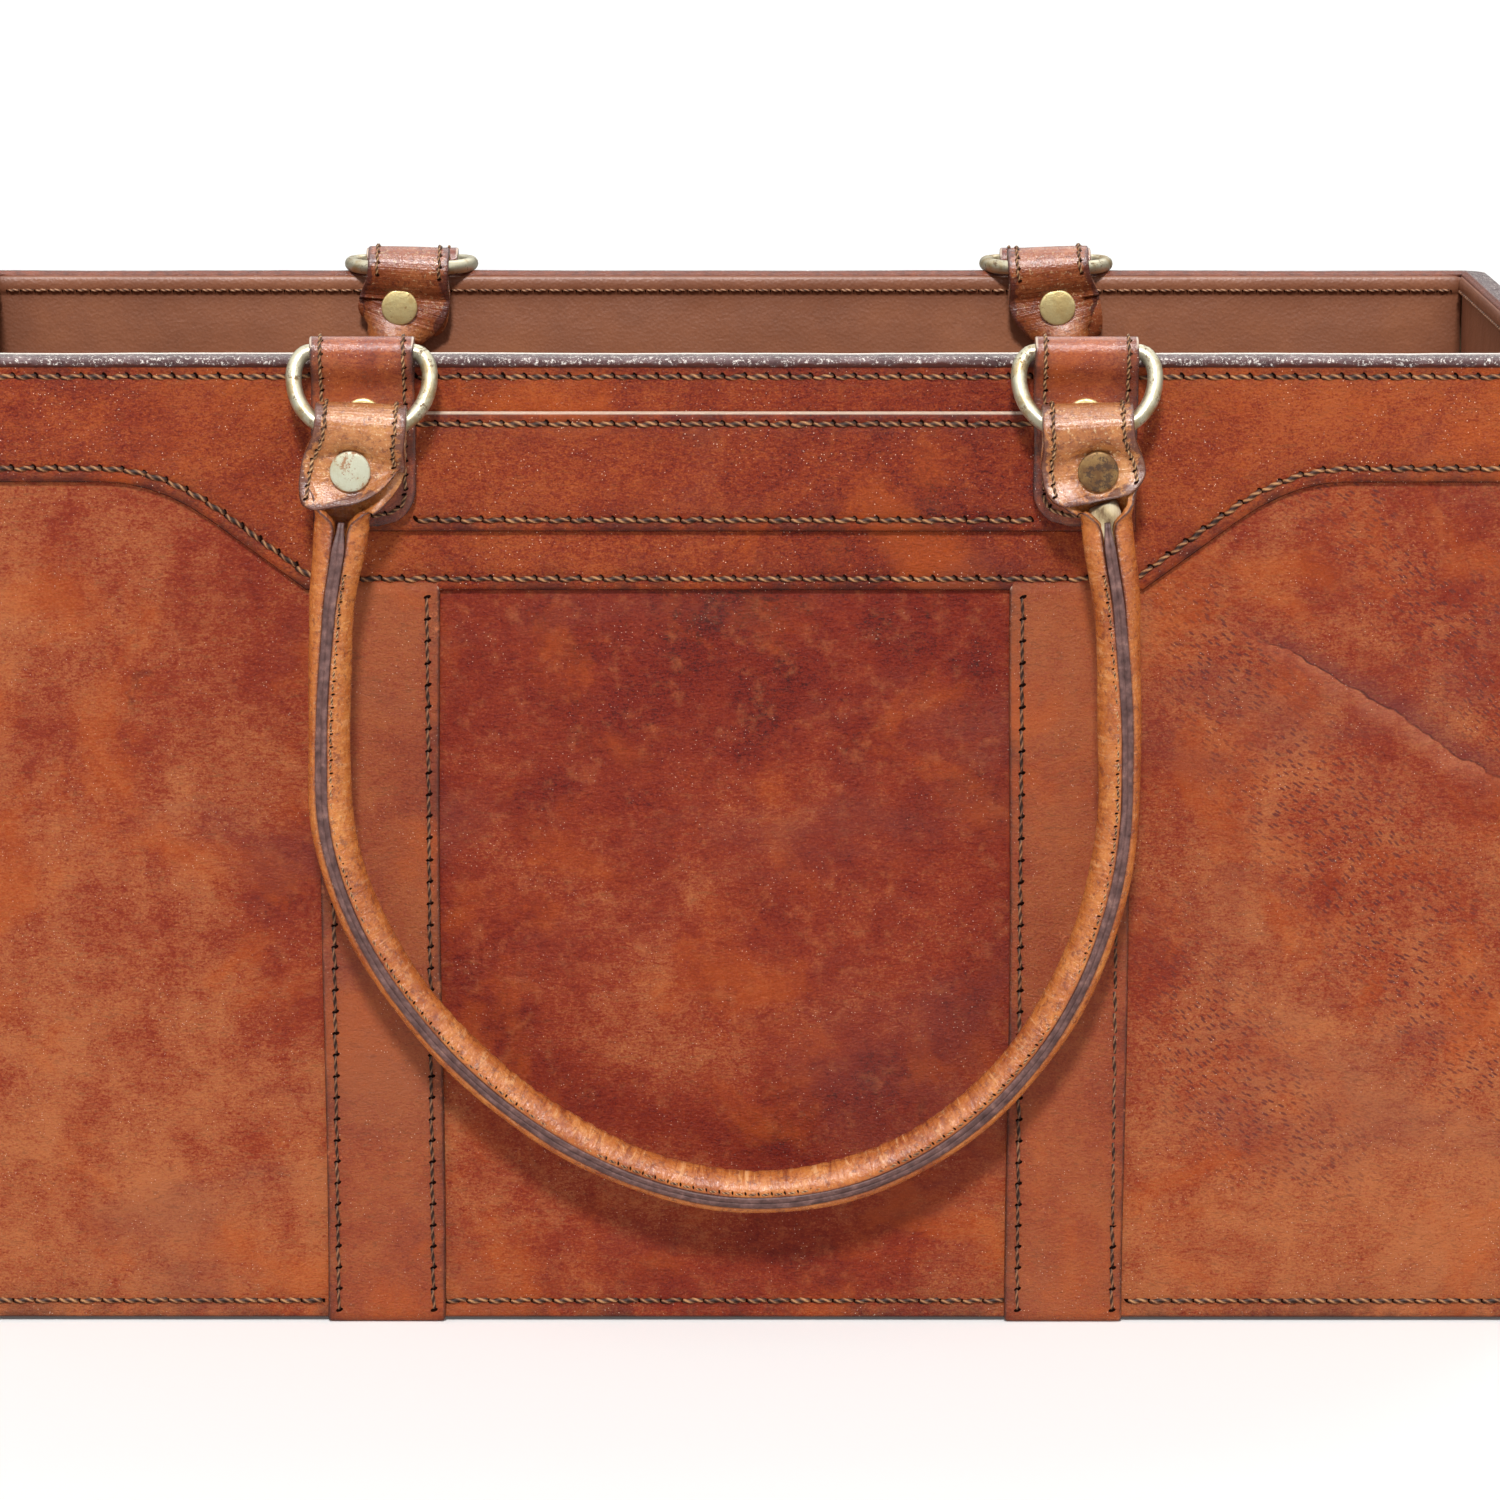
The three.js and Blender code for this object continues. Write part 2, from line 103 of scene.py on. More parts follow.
def bezier(a, b, c, d, count):
    t = np.linspace(0, 1, count)[:, None]
    a, b, c, d = (np.asarray(p, float) for p in (a, b, c, d))
    return a * (1 - t) ** 3 + 3 * b * t * (1 - t) ** 2 + 3 * c * t * t * (1 - t) + d * t**3


def length_along(points):
    """The length of a line from its start to each of its points."""
    return np.concatenate([[0], np.cumsum(np.linalg.norm(np.diff(points, axis=0), axis=1))])


def resample(points, step):
    """The same line with its points evenly spaced."""
    points = np.asarray(points, float)
    along = length_along(points)
    at = np.linspace(0, along[-1], max(2, int(round(along[-1] / step)) + 1))
    return np.stack([np.interp(at, along, column) for column in points.T], 1)


def rounded(edge, bevel, depth=None):
    """How far a rounded edge has dropped, at a distance in from that edge."""
    share = np.clip(1 - edge / bevel, 0, 1)
    return (depth or bevel) * (1 - np.sqrt(1 - share**2))


def walls(side, u, v, n):
    """Places points given along, up and out from the bag's middle, for a wall seen from outside."""
    u, v, n = np.broadcast_arrays(u, v, n)
    x, y = {"front": (u, -n), "back": (-u, n), "left_side": (-n, -u), "right_side": (n, u)}[side]
    return np.stack([x, MIDDLE_Y + y, v], -1)


def outward(side):
    return walls(side, 0, 0, 1) - walls(side, 0, 0, 0)


def skin(side, u, v):
    """How far a wall bows out of its flat plane: nothing at its edges and above the yoke's edge."""
    half = HALF_LENGTH if side in SIGNS else HALF_DEPTH
    inside = ease(half - np.abs(u), 0, 60) * ease(v, FLOOR, 60) * ease(yoke_low[2] - v, 2, 78)
    phase = {"front": 0.3, "back": 1.7, "left_side": 2.9, "right_side": 4.1}[side]
    wave = 0.9 + 0.45 * np.sin(u / 47 + phase) + 0.3 * np.sin(v / 31 + u / 83 + 2 * phase)
    return inside * wave


# ---------------------------------------------------------------- mesh helpers
class Part:
    """Vertices, faces, a material number for each face and named values for each vertex."""

    def __init__(self, points, faces, material=0, **values):
        self.points = np.asarray(points, float).reshape(-1, 3)
        self.faces = faces
        self.material = material
        self.values = values


def grid_faces(rows, columns, start=0, wrap=False, closed=False, flip=False):
    """Faces of a grid. Wrap joins its last column to its first, and closed joins its last row."""
    faces = []
    for i in range(rows if closed else rows - 1):
        for j in range(columns if wrap else columns - 1):
            row, column = start + i * columns, (j + 1) % columns
            next_row = start + (i + 1) % rows * columns
            a, b, c, d = row + j, row + column, next_row + column, next_row + j
            faces.append((a, d, c, b) if flip else (a, b, c, d))
    return faces


def loft(loops, **values):
    """A closed skin through section loops, each seen counterclockwise from the far end."""
    loops = np.asarray(loops, float)
    rows, columns = loops.shape[:2]
    faces = grid_faces(rows, columns, wrap=True)
    faces.append(tuple(range(columns - 1, -1, -1)))
    faces.append(tuple((rows - 1) * columns + j for j in range(columns)))
    return Part(loops, faces, **{name: np.ravel(value) for name, value in values.items()})


def shell(front, back, edge, back_edge=0.0, flip=False, **values):
    """A closed sheet between two grids of points."""
    rows, columns = edge.shape
    count = edge.size
    faces = grid_faces(rows, columns, flip=flip) + grid_faces(rows, columns, start=count, flip=not flip)
    loop = list(range(columns)) + [i * columns + columns - 1 for i in range(1, rows)]
    loop += [(rows - 1) * columns + j for j in range(columns - 2, -1, -1)]
    loop += [i * columns for i in range(rows - 2, 0, -1)]
    for a, b in zip(loop, loop[1:] + loop[:1]):
        faces.append((a, b, b + count, a + count) if flip else (a, a + count, b + count, b))
    twice = {name: np.tile(np.broadcast_to(value, edge.shape).ravel(), 2) for name, value in values.items()}
    return Part(np.stack([front, back]), faces, edge=np.stack([edge, edge * back_edge]).ravel(), **twice)


def link(name, data):
    made = bpy.data.objects.new(name, data)
    bpy.context.scene.collection.objects.link(made)
    return made


def mesh(name, parts, materials, body="root", node=None):
    """One smooth object from parts. It rides on a body, and may stand for a node."""
    data = bpy.data.meshes.new(name)
    faces, start = [], 0
    for part in parts:
        faces.extend(tuple(start + i for i in face) for face in part.faces)
        start += len(part.points)
    data.from_pydata((np.concatenate([part.points for part in parts]) / 1000).tolist(), [], faces)
    data.polygons.foreach_set("use_smooth", [True] * len(faces))
    data.polygons.foreach_set("material_index", [part.material for part in parts for _ in part.faces])
    for key in sorted({key for part in parts for key in part.values}):
        values = [np.broadcast_to(part.values.get(key, 0.0), len(part.points)) for part in parts]
        data.attributes.new(key, "FLOAT", "POINT").data.foreach_set("value", np.concatenate(values))
    for material in materials:
        data.materials.append(material)
    data.update()
    made = link(name, data)
    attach(made, body)
    if node:
        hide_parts(node)


# ---------------------------------------------------------------- flat leather
BORDER = [0, 0.12, 0.35, 0.7, 1.3, 2.1, 2.9, 3.6, 4.3, 5.2, 7, 10]
BANK = BORDER[-1]


def spread(low, high, step):
    """Places between two edges, close together near each edge."""
    edge = [d for d in BORDER if d < (high - low) / 2 - 0.5]
    inner = max(2, int(round((high - low - 2 * edge[-1]) / step)))
    middle = np.linspace(low + edge[-1], high - edge[-1], inner + 1)
    return np.concatenate([low + np.array(edge[:-1]), middle, high - np.array(edge[-2::-1])])


def sheet(side, half, lower, upper, face, thick, step, bevel, seam, tone):
    """A leather sheet on a wall, with rounded edges and a shallow groove along its seam."""
    us = np.unique(np.round(np.concatenate([spread(-half, half, step), lower[1:-1, 0]]), 3))
    low = np.interp(us, lower[:, 0], lower[:, 1])
    squeeze = 1 / np.sqrt(1 + np.clip(np.gradient(low, us), -2, 2) ** 2)
    short = upper - lower[:, 1].max()
    bank = min(BANK, short / 2)
    first = low + bank / squeeze
    rows = []
    for t in spread(0, short, step):
        if t < min(BANK + 0.01, short / 2):
            rows.append(low + t / squeeze)
        else:
            rows.append(first + (upper - first) * ((t - bank) / (short - bank)))
    v = np.array(rows)
    u = np.broadcast_to(us, v.shape)
    edge = np.maximum(np.minimum.reduce([(v - low) * squeeze, upper - v, half + u, half - u]), 0)
    bow = skin(side, u, v)
    n = face - rounded(edge, bevel, min(bevel, 0.84 * thick)) + bow
    n = n - 0.22 * hump(edge, seam, 0.9) + 0.12 * hump(edge, seam + 3, 1.8)
    front, back = walls(side, u, v, n), walls(side, u, v, face - thick + bow)
    return shell(front, back, edge, tone=tone(side, u, v), pored=pored(u, v))


def pored(u, v):
    """Where the hide's pores show: mostly at one end of each wall."""
    swirl = 0.5 + 0.5 * np.cos((0.8 * u + 0.6 * v - 198) / 9.6)
    return np.clip(ease(u, 92, 125) * (0.15 + 1.1 * swirl) * ease(v, 10, 60), 0, 1)


def level(z):
    """A lower edge at one height, longer than any wall."""
    return np.array([[-1000.0, z], [1000.0, z]])


def yoke_line(side):
    """The lower edge of a yoke, read from its CAD mesh, in along and up."""
    points = np.array([tuple(v.co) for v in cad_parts[side + "_yoke"].data.vertices]) * 1000
    face = points[np.abs(points[:, 1] - walls(side, 0, 0, YOKE_FACE)[1]) < 0.02]
    face = face * [-SIGNS[side], 1, 1]
    face = face[face[:, 2] < side_yoke_low[2] + 0.5]
    line = face[np.lexsort((face[:, 2], face[:, 0]))][:, [0, 2]]
    apart = np.concatenate([[True], np.diff(line[:, 0]) > 0.05])
    return line[apart]


# ---------------------------------------------------------------- strips of leather
STRIP_INSET = np.array([0, 0.15, 0.45, 1.0, 2.0, 2.8, 3.6, 5.0, 8.0])
INNER_BEVEL = 0.2


def across_strip(half, inset):
    """Places across a strip from edge to edge, and the distance of each from its nearer edge."""
    place = half - inset
    return np.concatenate([-place, [0], place[::-1]]), np.concatenate([inset, [half], inset[::-1]])


def ribbon(centres, sides, normals, halves, thick, bevel):
    """A strip with rounded edges. Its outer face lies at the centres, and its inner face under them."""
    loops, edges = [], []
    for centre, side, normal, half in zip(centres, sides, normals, halves):
        inset = np.where(STRIP_INSET < half * 0.96, STRIP_INSET, half * 0.97)
        place, gap = across_strip(half, inset)
        inner = half - INNER_BEVEL
        place = np.concatenate([place, [half, inner, 0, -inner, -half]])
        under = np.array([INNER_BEVEL, 0, 0, 0, INNER_BEVEL]) - thick
        depth = np.concatenate([-rounded(gap, bevel), under])
        loops.append(centre + place[:, None] * side + depth[:, None] * normal)
        edges.append(np.concatenate([gap, [0, 0, half, 0, 0]]))
    return loft(loops, edge=edges)


# ---------------------------------------------------------------- thread
RINGS, FACETS = 9, 8  # fineness of a stitch along and around


def stitch_parts(points, normals, pitch=5.5, width=0.62, slant=6, hole=1.0, fill=1.02, lean=34, proud=0.16,
                 aside=0.42):
    """Waxed two-ply stitches along a line on a surface, and the awl hole between each two."""
    points = np.asarray(points, float)
    normals = np.broadcast_to(np.asarray(normals, float), points.shape)
    along = length_along(points)
    count = max(1, int(round(along[-1] / pitch)))
    step = along[-1] / count

    def at(where, table):
        return np.stack([np.interp(where, along, table[:, k]) for k in range(3)], 1)

    def axes(where, reach, angle, scatter):
        """Places with their directions along, aside and out, the first two turned by an angle."""
        out = unit(at(where, normals))
        ahead = unit(at(where + reach, points) - at(where - reach, points))
        beside = np.cross(out, ahead)
        turn = np.radians(angle + RNG.normal(0, scatter, len(where)))[:, None]
        turned = [ahead * np.cos(turn) + beside * np.sin(turn), beside * np.cos(turn) - ahead * np.sin(turn)]
        return [array[:, None] for array in (at(where, points), *turned, out)]

    centre, ahead, beside, out = axes((np.arange(count) + 0.5) * step, step * 0.4, slant, 2.2)
    length = step * fill * (1 + RNG.normal(0, 0.035, count))[:, None]
    fat = (1 + RNG.normal(0, 0.06, count))[:, None]
    a = np.repeat(np.linspace(-0.5, 0.5, RINGS), FACETS)
    phi = np.tile(np.arange(FACETS) / FACETS * 2 * np.pi, RINGS)
    ply = np.cos(2 * (phi - a * 6.4))
    blunt = np.abs(a * 2) ** 5
    radius = width * (1 + 0.22 * ply) * np.clip(1.15 - blunt * 0.4, 0, 1)
    height = radius * np.sin(phi) * 0.85 + proud - 0.45 * blunt
    place = centre + (a * length)[..., None] * ahead + (radius * np.cos(phi) * fat)[..., None] * beside
    place = place + height[:, None] * out
    one = grid_faces(RINGS, FACETS, wrap=True, flip=True)
    one += [tuple(range(FACETS)), tuple((RINGS - 1) * FACETS + j for j in range(FACETS - 1, -1, -1))]
    faces = [tuple(k * a.size + i for i in face) for k in range(count) for face in one]
    tint = np.repeat(RNG.uniform(0, 1, count), a.size)
    thread = Part(place, faces, ply=np.tile(ply, count), tint=tint)

    # Awl holes: flat discs just above the surface, painted dark as the shade inside each hole.
    base, ahead, beside, out = axes(np.arange(count + 1) * step, step * 0.3, lean, 5)
    phi = np.arange(FACETS)[:, None] / FACETS * 2 * np.pi
    outline = base + 0.5 * hole * np.cos(phi) * ahead + hole * (np.sin(phi) + aside) * beside + 0.16 * out
    faces = [tuple(i * FACETS + j for j in range(FACETS)) for i in range(count + 1)]
    return [thread, Part(outline, faces, 1)]


def wall_stitches(side, path, face, skip=(), **options):
    """Stitches along a wall line, left out where |along| lies in one of the skipped spans."""
    path = resample(path, 1.0)
    keep = np.ones(len(path), bool)
    for low, high in skip:
        keep &= (path[:, 0] <= low) | (path[:, 0] >= high)
    ends = np.flatnonzero(np.diff(np.concatenate([[False], keep, [False]]).astype(int)))
    parts = []
    for start, end in zip(ends[::2], ends[1::2]):
        if end - start >= 6:
            u, v = resample(path[start:end], 3).T
            parts += stitch_parts(walls(side, u, v, face + skin(side, u, v) - 0.12), outward(side), **options)
    return parts


def level_seam(side, half, v, face, skip=()):
    return wall_stitches(side, [(-half, v), (half, v)], face, skip)


def upright_seams(side, places, low, high, face, **options):
    seams = [wall_stitches(side, [(u, low), (u, high)], face, **options) for u in places]
    return sum(seams, [])


# ---------------------------------------------------------------- node materials
def linear(color):
    """A colour of 0 to 255 per channel as linear light."""
    rgb = [c / 255 for c in color]
    return tuple(c / 12.92 if c < 0.04045 else ((c + 0.055) / 1.055) ** 2.4 for c in rgb) + (1.0,)


class Nodes:
    """Adds nodes to a tree."""

    def __init__(self, tree):
        self.tree = tree

    def put(self, socket, value):
        value = value.socket if isinstance(value, Signal) else value
        if isinstance(value, bpy.types.NodeSocket):
            self.tree.links.new(value, socket)
        elif value is not None:
            socket.default_value = value

    def node(self, kind, inputs=(), output=0, **properties):
        """The output of a new node whose inputs, by name or number, get a signal or a value."""
        made = self.tree.nodes.new(kind)
        for key, value in properties.items():
            setattr(made, key, value)
        for key, value in dict(inputs).items():
            self.put(made.inputs[key], value)
        return Signal(self, made.outputs[output])


class Signal:
    """A node's output, used as a number in sums and products."""

    def __init__(self, nodes, socket):
        self.nodes = nodes
        self.socket = socket

    def math(self, operation, first, second=None):
        return self.nodes.node("ShaderNodeMath", {0: first, 1: second}, operation=operation)

    def __add__(self, other):
        return self.math("ADD", self, other)

    def __sub__(self, other):
        return self.math("SUBTRACT", self, other)

    def __rsub__(self, other):
        return self.math("SUBTRACT", other, self)

    def __mul__(self, other):
        return self.math("MULTIPLY", self, other)

    def __abs__(self):
        return self.math("ABSOLUTE", self)

    __radd__ = __add__

    def fade(self, reach):
        """Falls off from 1 over a reach."""
        return self.math("POWER", 2.718, self * (-1.0 / reach))

    def between(self, low, high, to_low=0.0, to_high=1.0):
        """Goes smoothly from one level to another between two of its values."""
        inputs = dict(enumerate((self, low, high, to_low, to_high)))
        return self.nodes.node("ShaderNodeMapRange", inputs, interpolation_type="SMOOTHSTEP")


class Shader(Nodes):
    """A material under construction: its colour and its relief are laid on step by step."""

    def __init__(self, name, shift=0.0):
        self.material = bpy.data.materials.new(name)
        self.material.use_nodes = True
        super().__init__(self.material.node_tree)
        self.tree.nodes.clear()
        self.bsdf = self.tree.nodes.new("ShaderNodeBsdfPrincipled")
        surface = self.tree.nodes.new("ShaderNodeOutputMaterial").inputs[0]
        self.put(surface, self.bsdf.outputs[0])
        self.place = self.node("ShaderNodeTexCoord", output="Object")
        self.shift = shift
        self.base = None
        self.normal = None

    def value(self, name):
        return self.node("ShaderNodeAttribute", output="Fac", attribute_name=name)

    def axis(self, index):
        return self.node("ShaderNodeSeparateXYZ", {0: self.place}, index) * 1000.0

    def flat(self, x, y):
        return self.node("ShaderNodeCombineXYZ", {0: x, 1: y})

    def stretch(self, scale, shift, turn=(0, 0, 0)):
        """The place on the object in millimetres, scaled: features are about 1 / scale mm across."""
        scale = [1000 * s for s in (scale if isinstance(scale, tuple) else (scale,) * 3)]
        inputs = {"Vector": self.place, "Location": shift, "Rotation": turn, "Scale": scale}
        return self.node("ShaderNodeMapping", inputs)

    def noise(self, scale, detail=3, rough=0.55, shift=0.0, warp=0.0, turn=(0, 0, 0), place=None):
        shift = shift + self.shift
        place = place or self.stretch(scale, (shift, shift * 0.7, shift * 1.3), turn)
        inputs = {"Vector": place, "Scale": 1, "Detail": detail, "Roughness": rough, "Distortion": warp}
        return self.node("ShaderNodeTexNoise", inputs)

    def cells(self, scale, shift=0.0):
        inputs = {"Vector": self.stretch(scale, (shift + self.shift,) * 3), "Scale": 1}
        return self.node("ShaderNodeTexVoronoi", inputs, "Distance")

    def ramp(self, factor, stops):
        """The colours of a ramp, which also become the base."""
        made = self.tree.nodes.new("ShaderNodeValToRGB")
        elements = made.color_ramp.elements
        while len(elements) < len(stops):
            elements.new(0.5)
        for element, (position, color) in zip(elements, stops):
            element.position = position
            element.color = linear(color)
        self.put(made.inputs[0], factor)
        self.base = made.outputs[0]
        return self.base

    def paint(self, share, color):
        """Lays a share of a colour, or of a ramp's colours, over the base."""
        color = linear(color) if isinstance(color, (tuple, list)) else color
        self.base = self.node("ShaderNodeMix", {0: share, 6: self.base, 7: color}, 2, data_type="RGBA")

    def bump(self, height, depth):
        """Adds relief: a height from 0 to 1 over a depth in millimetres."""
        inputs = {"Strength": 1.0, "Distance": depth / 1000, "Height": height, "Normal": self.normal}
        self.normal = self.node("ShaderNodeBump", inputs)

    def finish(self, roughness, **others):
        inputs = {"Base_Color": self.base, "Roughness": roughness, "Normal": self.normal, **others}
        for key, value in inputs.items():
            self.put(self.bsdf.inputs[key.replace("_", " ")], value)
        return self.material


def leather(name, light, middle, dark, burnish=(60, 16, 12), shift=0.0, edge_reach=5.0, edge_dark=0.75,
            streak=0.25, scuff=0.0, pores=0.0, gloss=0.4, grain=1.0, shine=0.3, painted_glints=0.5, relief=1.0,
            grit=0.9):
    """Vegetable-tanned leather: mottled dye, faint streaks, worn dark edges and a fine pebbled grain, with
    painted glints in patches and a painted highlight on edges that face up.
    """
    s = Shader(name, shift)
    edge = s.value("edge")
    wide = s.noise(0.014, 6, 0.6, 3.1, 0.8)
    mid = s.noise(0.055, 9, 0.7, 7.7, 0.5)
    streaks = s.noise((0.12, 0.12, 0.02), 6, 0.65, 1.3)
    fine = s.noise((1.1, 1.1, 1.6), 4, 0.7, 0, 0.6)
    speckle = s.noise((2.0, 2.0, 2.4), 3, 0.7, 15)
    wrinkle = s.noise((0.28, 0.28, 1.1), 3, 0.6, 18, 1.2)
    mottle = wide * 0.85 + mid * 1.15 + streaks * streak + fine * grit + speckle * grit + wrinkle * 0.7
    mean = 0.5 * (0.85 + 1.15 + streak + 2 * grit + 0.7)
    stops = [(0.0, light), (0.4, middle), (0.78, dark), (1.0, burnish)]
    s.ramp(mottle + s.value("tone") * 0.66 - mean, stops)
    wash = s.noise(0.2, 7, 0.75, 5)
    s.paint(wash.between(0.5, 0.7, 0.0, 0.4), light)
    s.paint(wrinkle.between(0.34, 0.44, 0.3, 0.0), burnish)
    vein = abs(s.noise(0.006, 4, 0.5, 27) - 0.5).between(0.0, 0.004, 1.0, 0.0) * wash.between(0.42, 0.56)
    s.paint(vein * 0.25, light)
    if pores:
        open_pores(s, pores)
    if pores > 0.8:
        fold_mark(s, wash)
    ragged = edge.fade(edge_reach) * s.noise(0.1, 8, 0.72, 2).between(0.36, 0.6, 0.1, 1.0)
    s.paint(ragged * edge_dark, [0.7 * c + 22 for c in burnish])
    s.paint(s.noise(0.026, 7, 0.68, 51, 0.5).between(0.5, 0.66, 0.0, 0.4), (180, 82, 20))
    s.paint(s.noise((0.012, 0.012, 0.02), 5, 0.6, 35, 0.6).between(0.52, 0.68, 0.0, 0.3), (112, 58, 50))
    s.paint(s.noise(0.05, 5, 0.6, 41).between(0.69, 0.74, 0.0, 0.35), burnish)
    up = s.node("ShaderNodeSeparateXYZ", {0: s.node("ShaderNodeNewGeometry", output="Normal")}, 2)
    rim = edge.between(0.25, 0.8, 1.0, 0.0)
    s.paint(rim * 0.5, [c * 0.7 for c in burnish])
    # Painted highlight: the edge band is painted pale where it faces up, as if lit from above.
    s.paint(rim * up.between(0.2, 0.55) * 0.75, (255, 226, 200))
    # Painted glints: pale specks in patches, standing for light glinting off the grain.
    glint_zone = s.noise(0.09, 4, 0.6, 31).between(0.44, 0.58, 0.0, painted_glints)
    s.paint(s.cells(0.9, 5).between(0.07, 0.13, 1.0, 0.0) * glint_zone, (255, 224, 200))
    rough = mid * 0.2 + (gloss - 0.12) + speckle * 0.1
    if scuff:
        rub = (s.noise(0.12, 8, 0.74, 6) + edge.fade(3) * 0.08).between(0.64, 0.69, 0.0, scuff)
        rub = rub * s.noise(0.8, 5, 0.75, 11).between(0.42, 0.58)
        s.paint(rub, [c * 1.15 + 24 for c in light])
        rough = rough + rub * 0.2
    s.bump(s.noise(0.03, 3, 0.5, 2), 1.2 * relief)
    s.bump(s.noise((0.5 * grain, 0.5 * grain, 1.0 * grain), 6, 0.7, 8, 1.0), 0.34 * relief)
    s.bump(s.cells(1.25 * grain), 0.1 * relief)
    s.bump(fine * 0.5 + speckle * 0.5 + vein * 0.3, 0.3 * relief)
    return s.finish(rough - rim * 0.14, Specular_IOR_Level=rim * 0.4 + shine)


def open_pores(s, strength):
    """Short dark dashes in slanting rows, at the same places on every wall."""
    wander = s.noise(0.02, 2, 0.5, 6.0 - s.shift) * 9.0
    along = s.axis(0) + s.axis(1) + wander
    rise = s.axis(2) + wander
    place = s.flat(along * 0.21 + rise * -0.14, along * 0.42 + rise * 0.6)
    dash = s.node("ShaderNodeTexVoronoi", {"Vector": place, "Scale": 1}, "Distance", voronoi_dimensions="2D")
    spots = dash.between(0.14, 0.27, 1.0, 0.0) * s.noise(0.03, 4, 0.6, 4.0 - s.shift).between(0.36, 0.48)
    s.paint(spots * s.value("pored") * strength, (96, 40, 34))


def fold_mark(s, wash):
    """One slanting fold near the right end of the front: a dark line, lit above and shaded below."""
    wave = s.noise(0.03, 4, 0.6, 14.0) * 16
    fold = s.axis(0) * 0.53 + s.axis(2) * 0.85 + wave - 230
    run = s.axis(0) * 0.85 + s.axis(2) * -0.53
    kept = run.between(8, 34) * run.between(76, 112, 1.0, 0.0) * s.axis(1).between(-100, 0, 1.0, 0.0)
    shade = fold.between(-0.4, 0.2) * fold.between(0.4, 8, 1.0, 0.0) * 0.45
    s.paint(shade * kept, (96, 46, 46))
    glow = fold.between(-7, -0.6) * fold.between(-0.5, 0, 1.0, 0.0) * wash.between(0.3, 0.6, 0.1, 0.4)
    s.paint(glow * kept, (190, 116, 84))
    thin = abs(fold).between(0.12, 0.45, 0.8, 0.0) * wash.between(0.35, 0.6, 0.2, 1.0)
    s.paint(thin * kept, (58, 26, 24))


def handle_leather():
    """Tan leather rolled round a cord: creased across its inner curve, with painted shade in the crease
    troughs, worn and cracked at its ends.
    """
    s = Shader("handle_leather")
    edge, around, end = s.value("edge"), s.value("around"), s.value("tone")
    mid = s.noise(0.13, 7, 0.7, 5.1)
    fine = s.noise(0.9, 4, 0.72, 3)
    mixed = s.noise(0.03, 4, 0.6, 2.2) * 0.7 + mid * 0.9 + fine * 0.5 - 0.6
    worn = s.ramp(mixed, [(0.05, (220, 162, 102)), (0.4, (188, 120, 66)), (0.7, (148, 80, 42)),
                          (0.9, (112, 56, 40))])
    dyed = s.ramp(mixed, [(0.1, (196, 116, 70)), (0.45, (154, 78, 46)), (0.8, (104, 46, 34))])
    s.ramp(mixed, [(0.1, (220, 148, 78)), (0.42, (188, 108, 50)), (0.7, (148, 68, 30)), (1.0, (100, 40, 20))])
    fold = s.noise(1, 5, 0.65, 0, 0.6, place=s.flat(s.value("run") * 0.5, around * 0.9))
    bowl = around.between(0.0, 0.9) * s.value("bowl").between(0.0, 1.0, 0.45, 1.0)
    # Painted shade darkens the troughs of the creases across the inner curve; their crests are painted pale
    # and worn. Both follow the crease relief.
    s.paint(fold.between(0.36, 0.48, 0.7, 0.0) * bowl, (120, 48, 26))
    s.paint(fold.between(0.53, 0.64, 0.0, 0.6) * bowl, (236, 180, 126))
    s.paint(end * 0.95, worn)
    s.paint(s.value("dye") * 0.92, dyed)
    s.paint(s.noise(0.5, 6, 0.78, 12).between(0.53, 0.61, 0.0, 0.6), (104, 50, 40))
    s.paint(s.noise(0.9, 5, 0.78, 22).between(0.57, 0.64) * (0.22 + end * 0.4), (240, 206, 156))
    reach = 0.3 + end * s.noise(0.16, 6, 0.7, 9).between(0.36, 0.62, 0.0, 2.2)
    s.paint((edge - reach).between(-0.5, 0.5, 0.8, 0.0), (90, 50, 48))
    s.paint(edge.between(0.05, 0.4, 0.6, 0.0), (52, 26, 24))
    s.bump(fold, 0.5)
    s.bump(mid, 0.3)
    s.bump(s.cells(1.1), 0.08)
    s.bump(fine, 0.14)
    return s.finish(0.12 + mid * 0.18 + fine * 0.1, Specular_IOR_Level=0.65 + end * 0.35)


def edge_paint():
    """Grey-brown burnished edge of the handle's seam, cracked to a paler tone here and there."""
    s = Shader("seam_edge")
    mid = s.noise(0.35, 5, 0.7)
    s.ramp(mid, [(0.3, (66, 42, 40)), (0.5, (98, 68, 64)), (0.62, (122, 88, 82)), (0.8, (166, 126, 108))])
    s.bump(s.noise(0.9, 4, 0.7), 0.2)
    return s.finish(0.36 + mid * 0.25)


